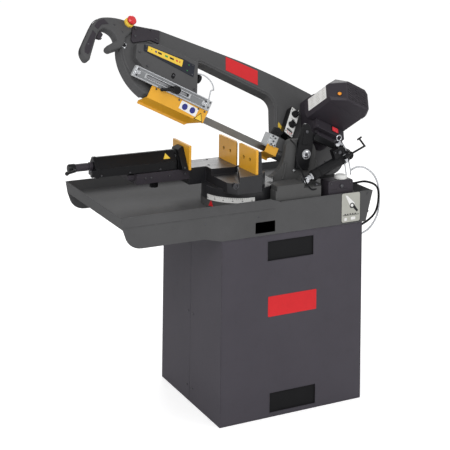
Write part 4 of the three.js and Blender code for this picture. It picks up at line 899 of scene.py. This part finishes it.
def vise_details():
    """Flag, screws and folded edges of the vise housing, screws on its rail and bracket, and the cap on the
    screw's end.
    """
    low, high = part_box("vise_housing")
    axis = joint_point("vise_screw_turn")
    eaves, ridge = Vector((0, axis.y - 0.040, 0.988)), Vector((0, axis.y - 0.004, 1.027))
    rise = (ridge - eaves).normalized()
    outward = Vector((1, 0, 0)).cross(rise)
    roof = Place((high.x - 0.04, *((eaves + ridge) / 2)[1:]), (1, 0, 0), rise, outward)
    flag = Piece().prism(roof, [(-15, -12), (15, -12), (0, 14)], 0.2, 0.9, 0.2)
    flag.finish("housing_flag", "stand", "yellow")
    screws = Piece()
    screws.screws(facing_side(low.x, axis.y, axis.z, -1), ((30, -12), (-30, -12)), -0.2, 4, 3)
    screws.screws(facing_front(low.x, axis.y - 0.038, 0), [(x, 962) for x in (40, 160, 290)], 0, 3.6, 2.8)
    screws.finish("housing_screws", "stand", "screw")
    folds = Piece()
    for y in (axis.y - 0.0395, axis.y + 0.0395):
        folds.tube([Vector((low.x + 0.014, y, 0.9876)), Vector((high.x, y, 0.9876))], 0.8, 8, 6)
    folds.finish("housing_folds", "stand", "black")
    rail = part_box("vise_rail")[0]
    spots = [(x, 934) for x in (rail.x * 1000 + 70, -520, -440, -372)]
    Piece().screws(facing_front(0, rail.y, 0), spots, 0, 4.2, 3).finish("rail_screws", "stand", "screw")
    end = facing_side(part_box("vise_screw")[0].x, axis.y, axis.z, -1)
    cap = Piece().lathe(end, [(15, -26), (17, -25), (17, -2), (14.5, 2), (8, 2.6), (0, 2.6)], 24)
    cap.finish("screw_cap", "screw", "black")
    low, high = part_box("jaw_carrier")
    bracket = Piece().screw(facing_front(high.x - 0.014, low.y, 0).moved(-2, 966, -1), 4, 3)
    bracket.finish("carrier_screw", "jaw", "screw")


# ---------------------------------------------------------------- tray and cabinet
def tray_details():
    """The fold and the rolled hems of the chip tray."""
    low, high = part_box("chip_tray")
    left, right, front = low.x * 1000, high.x * 1000, -low.y * 1000
    fold = Piece().plate(FRONT.moved((left - 82) / 2, 820), -82 - left - 12, 2.4, front, front + 0.9, 1, 0.4)
    fold.finish("skirt_fold", "stand", "body")
    hem = Piece()
    for y in (front - 1.5, -high.y * 1000 + 1.5):
        hem.tube(metres([(-738, -y, 857), (-104, -y, 857)]), 2.4, 8, 4)
        hem.tube(metres([(-60, -y, 843), (right - 4, -y, 843)]), 2.4, 8, 4)
    hem.tube(metres([(left + 1, -front + 1, 857), (left + 1, high.y * 1000 - 1, 857)]), 2.4, 8, 4)
    hem.finish("tray_hem", "stand", "body")


def skirt_label():
    """A grey label with plain shapes on the tray's front, and the screws of the skirt."""
    front = -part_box("chip_tray")[0].y * 1000
    face, top = front + 0.9, front + 1.2
    Piece().plate(FRONT.moved(267, 785), 88, 118, front, face, 8, 0.3).finish("skirt_label", "stand", "plate")
    border = Piece().plate(FRONT.moved(267, 785), 92, 122, front, front + 0.45, 9, 0.2)
    border.plate(FRONT.moved(267, 754), 80, 2, face, front + 1.1, 0.6, 0.05)
    border.finish("skirt_label_border", "stand", "print")
    shapes = Piece()
    shapes.prism(FRONT, [(240, 836), (250, 834), (286, 800), (276, 786), (262, 792)], face, top, 0.1)
    shapes.plate(FRONT.moved(278, 740), 22, 12, face, top, 4, 0.1)
    shapes.plate(FRONT.moved(242, 738), 12, 12, face, top, 3, 0.1)
    shapes.finish("skirt_label_shapes", "stand", "white")
    marks = Piece()
    marks.lathe(FRONT.moved(272, 792, top), [(11, 0), (11, 0.3), (7, 0.3), (7, 0)], 24)
    marks.prism(FRONT, [(282, 796), (302, 770), (296, 764), (276, 784)], face, top, 0.1)
    for x in (240, 252, 264, 276, 288):
        marks.plate(FRONT.moved(x, 758), 7, 4, face, top, 1.5, 0.1)
    marks.finish("skirt_label_marks", "stand", "print")
    screws = Piece()
    for x, z in ((-394, 796), (-164, 796)):
        screws.lathe(FRONT.moved(x, z, front - 2), [(3.9, 0), (3.9, 1.2), (0, 1.6)], 16)
    screws.screws(FRONT, ((348, 832), (350, 760)), front, 3.6, 2.2)
    screws.finish("skirt_screws", "stand", "screw")


def cabinet_details():
    """The red plate, folds, slot lips and screws of the cabinet, with dark sheets behind its slots as painted
    shade.
    """
    low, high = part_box("cabinet_front_half")
    front = -low.y * 1000
    red = Piece().plate(FRONT.moved(-4, 436), 222, 80, front, front + 0.9, 4, 0.3)
    red.finish("cabinet_plate", "stand", "plate_red")
    folds = Piece()
    for z in (3, 716):
        folds.plate(FRONT.moved(0, z), high.x * 2000 - 12, 3, front, front + 0.6, 1.2, 0.3)
    for x in (low.x * 1000 + 3, high.x * 1000 - 3):
        folds.plate(FRONT.moved(x, 359), 3, 700, front, front + 0.5, 1.2, 0.3)
    folds.finish("cabinet_folds", "stand", "cabinet")
    wide, tall = 212, 79
    lips, slot_shades = Piece(), Piece()
    for x, z in ((-14, 655), (2, 56)):
        for edge in (-tall / 2, tall / 2):
            lips.plate(FRONT.moved(x, z + edge), wide, 1.6, front - 2.6, front + 0.8, 0.6, 0.3)
        for edge in (-wide / 2 + 0.4, wide / 2 - 0.4):
            lips.plate(FRONT.moved(x + edge, z), 1.6, tall, front - 2.6, front + 0.8, 0.6, 0.3)
        # A dark sheet behind each slot: painted shade for the dark inside of the cabinet.
        slot_shades.plate(FRONT.moved(x, z), 236, 96, front - 8, front - 5, 4, 1)
    lips.finish("slot_lips", "stand", "cabinet")
    slot_shades.finish("slot_painted_shade", "stand", "rubber")
    screws = Piece()
    spots = [(y, z) for y in (-24, 24) for z in (60, 360, 660)]
    for side, x in ((-1, low.x), (1, high.x)):
        screws.screws(facing_side(x, 0, 0, side), spots, 0, 4, 2.4)
    screws.finish("cabinet_screws", "stand", "screw")


def pump_details():
    """The fittings and the seam on the pump box's front."""
    low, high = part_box("pump_box")
    left, right = low.x * 1000, high.x * 1000
    face = facing_front(0, low.y, 0)
    fittings = Piece().nut(face.moved(left + 62, 874, -0.5), 8, 6)
    fittings.screws(face, ((left + 14, 886), (right - 14, 886)), -0.5, 3.4, 2.4)
    fittings.finish("pump_fittings", "stand", "screw")
    seam = Piece().plate(face.moved((left + right) / 2, 862), right - left - 8, 2.4, -0.4, 1, 1, 0.4)
    seam.finish("pump_seam", "stand", "plum")


# ---------------------------------------------------------------- studio
def floor_finish():
    n = Nodes("studio_floor")
    coordinates = n.add("ShaderNodeTexCoord").outputs["Object"]
    tone = mix(n, remap(n, noise(n, coordinates, 0.8), 0.3, 0.7), (0.9, 0.9, 0.905, 1), (0.93, 0.93, 0.93, 1))
    shader = n.add("ShaderNodeBsdfPrincipled", Roughness=0.9)
    shader.inputs["Emission Color"].default_value = (1, 1, 1, 1)
    seen = n.add("ShaderNodeLightPath").outputs["Is Camera Ray"]
    n.link(maths(n, "MULTIPLY", seen, 0.46), shader.inputs["Emission Strength"])
    n.link(tone, shader.inputs["Base Color"])
    n.link(shader.outputs["BSDF"], n.add("ShaderNodeOutputMaterial").inputs["Surface"])
    return n.material


def studio():
    """A pale floor, a white surround and three soft lamps."""
    data = bpy.data.meshes.new("floor")
    side, z = 60.0, -0.0005
    corners = [(-side, -side, z), (side, -side, z), (side, side, z), (-side, side, z)]
    data.from_pydata(corners, [], [(0, 1, 2, 3)])
    floor = bpy.data.objects.new("floor", data)
    bpy.context.scene.collection.objects.link(floor)
    data.materials.append(floor_finish())
    world = bpy.data.worlds.new("studio")
    bpy.context.scene.world = world
    world.use_nodes = True
    background = world.node_tree.nodes["Background"]
    background.inputs["Color"].default_value = (1, 1, 1, 1)
    seen = world.node_tree.nodes.new("ShaderNodeLightPath")
    level = world.node_tree.nodes.new("ShaderNodeMapRange")
    level.inputs["To Min"].default_value = 0.62
    level.inputs["To Max"].default_value = 1.05
    world.node_tree.links.new(seen.outputs["Is Camera Ray"], level.inputs["Value"])
    world.node_tree.links.new(level.outputs["Result"], background.inputs["Strength"])
    lamps = (
        ("key", (-2.6, -3.2, 3.6), 2.4, 90),
        ("fill", (2.8, -3.4, 2.2), 2.2, 26),
        ("rim", (1.5, 3.0, 3.2), 2.0, 40),
    )
    for name, place, size, power in lamps:
        lamp = bpy.data.lights.new(name, "AREA")
        lamp.energy, lamp.size = power, size
        holder = bpy.data.objects.new(name, lamp)
        bpy.context.scene.collection.objects.link(holder)
        holder.location = place
        holder.rotation_euler = (Vector((-0.1, 0, 0.9)) - Vector(place)).to_track_quat("-Z", "Y").to_euler()
    bpy.context.scene.view_settings.view_transform = "Standard"


CAMERA_HOME = (-2.4911, -4.4715, 2.15)
YAW, ROLL = 27.239, 0.6895
# The lens's length over the sensor's width, and its shift in sensor widths.
FOCAL, SHIFT = 2.7249, -0.7872


def camera():
    """A level camera with its lens shifted down, which keeps upright edges upright."""
    data = bpy.data.cameras.new("camera")
    data.sensor_width = 36
    data.lens = 36 * FOCAL
    data.clip_end = 200
    holder = bpy.data.objects.new("camera", data)
    bpy.context.scene.collection.objects.link(holder)
    yaw, roll = math.radians(YAW), math.radians(ROLL)
    ahead = Vector((math.sin(yaw), math.cos(yaw), 0))
    right = Vector((math.cos(yaw), -math.sin(yaw), 0))
    up = Vector((0, 0, 1))
    x = right * math.cos(roll) + up * math.sin(roll)
    y = up * math.cos(roll) - right * math.sin(roll)
    holder.rotation_euler = Matrix((x, y, -ahead)).transposed().to_euler()
    holder.location = CAMERA_HOME
    shift_at_home(data, holder)
    bpy.context.scene.camera = holder


def shift_at_home(data, holder):
    """Shifts the lens only while the camera stands at home: a camera moved elsewhere looks straight ahead."""
    home = bpy.data.objects.new("camera_home", None)
    bpy.context.scene.collection.objects.link(home)
    home.location = CAMERA_HOME
    curve = data.driver_add("shift_y")
    curve.driver.type = "SUM"
    away = curve.driver.variables.new()
    away.type = "LOC_DIFF"
    away.targets[0].id = holder
    away.targets[1].id = home
    for modifier in list(curve.modifiers):
        curve.modifiers.remove(modifier)
    for distance, shift in ((0, SHIFT), (0.05, SHIFT), (0.1, 0)):
        curve.keyframe_points.insert(distance, shift).interpolation = "LINEAR"
    curve.extrapolation = "CONSTANT"


dress_frame()
BUILDS = (
    bow_plates, bow_ribs, bow_screws, cover_screws, tension_grip, blade_teeth, sliding_guide, fixed_guide,
    guard_details, handle_details, trigger_and_stop, controls, motor_details, fan_lattice, gearbox_details,
    pivot_details, column_details, cylinder_details, coolant_hose, moving_hoses, jaw_bolts, scale_marks,
    bed_details, vise_details, tray_details, skirt_label, cabinet_details, pump_details, studio, camera,
)
for build in BUILDS:
    build()
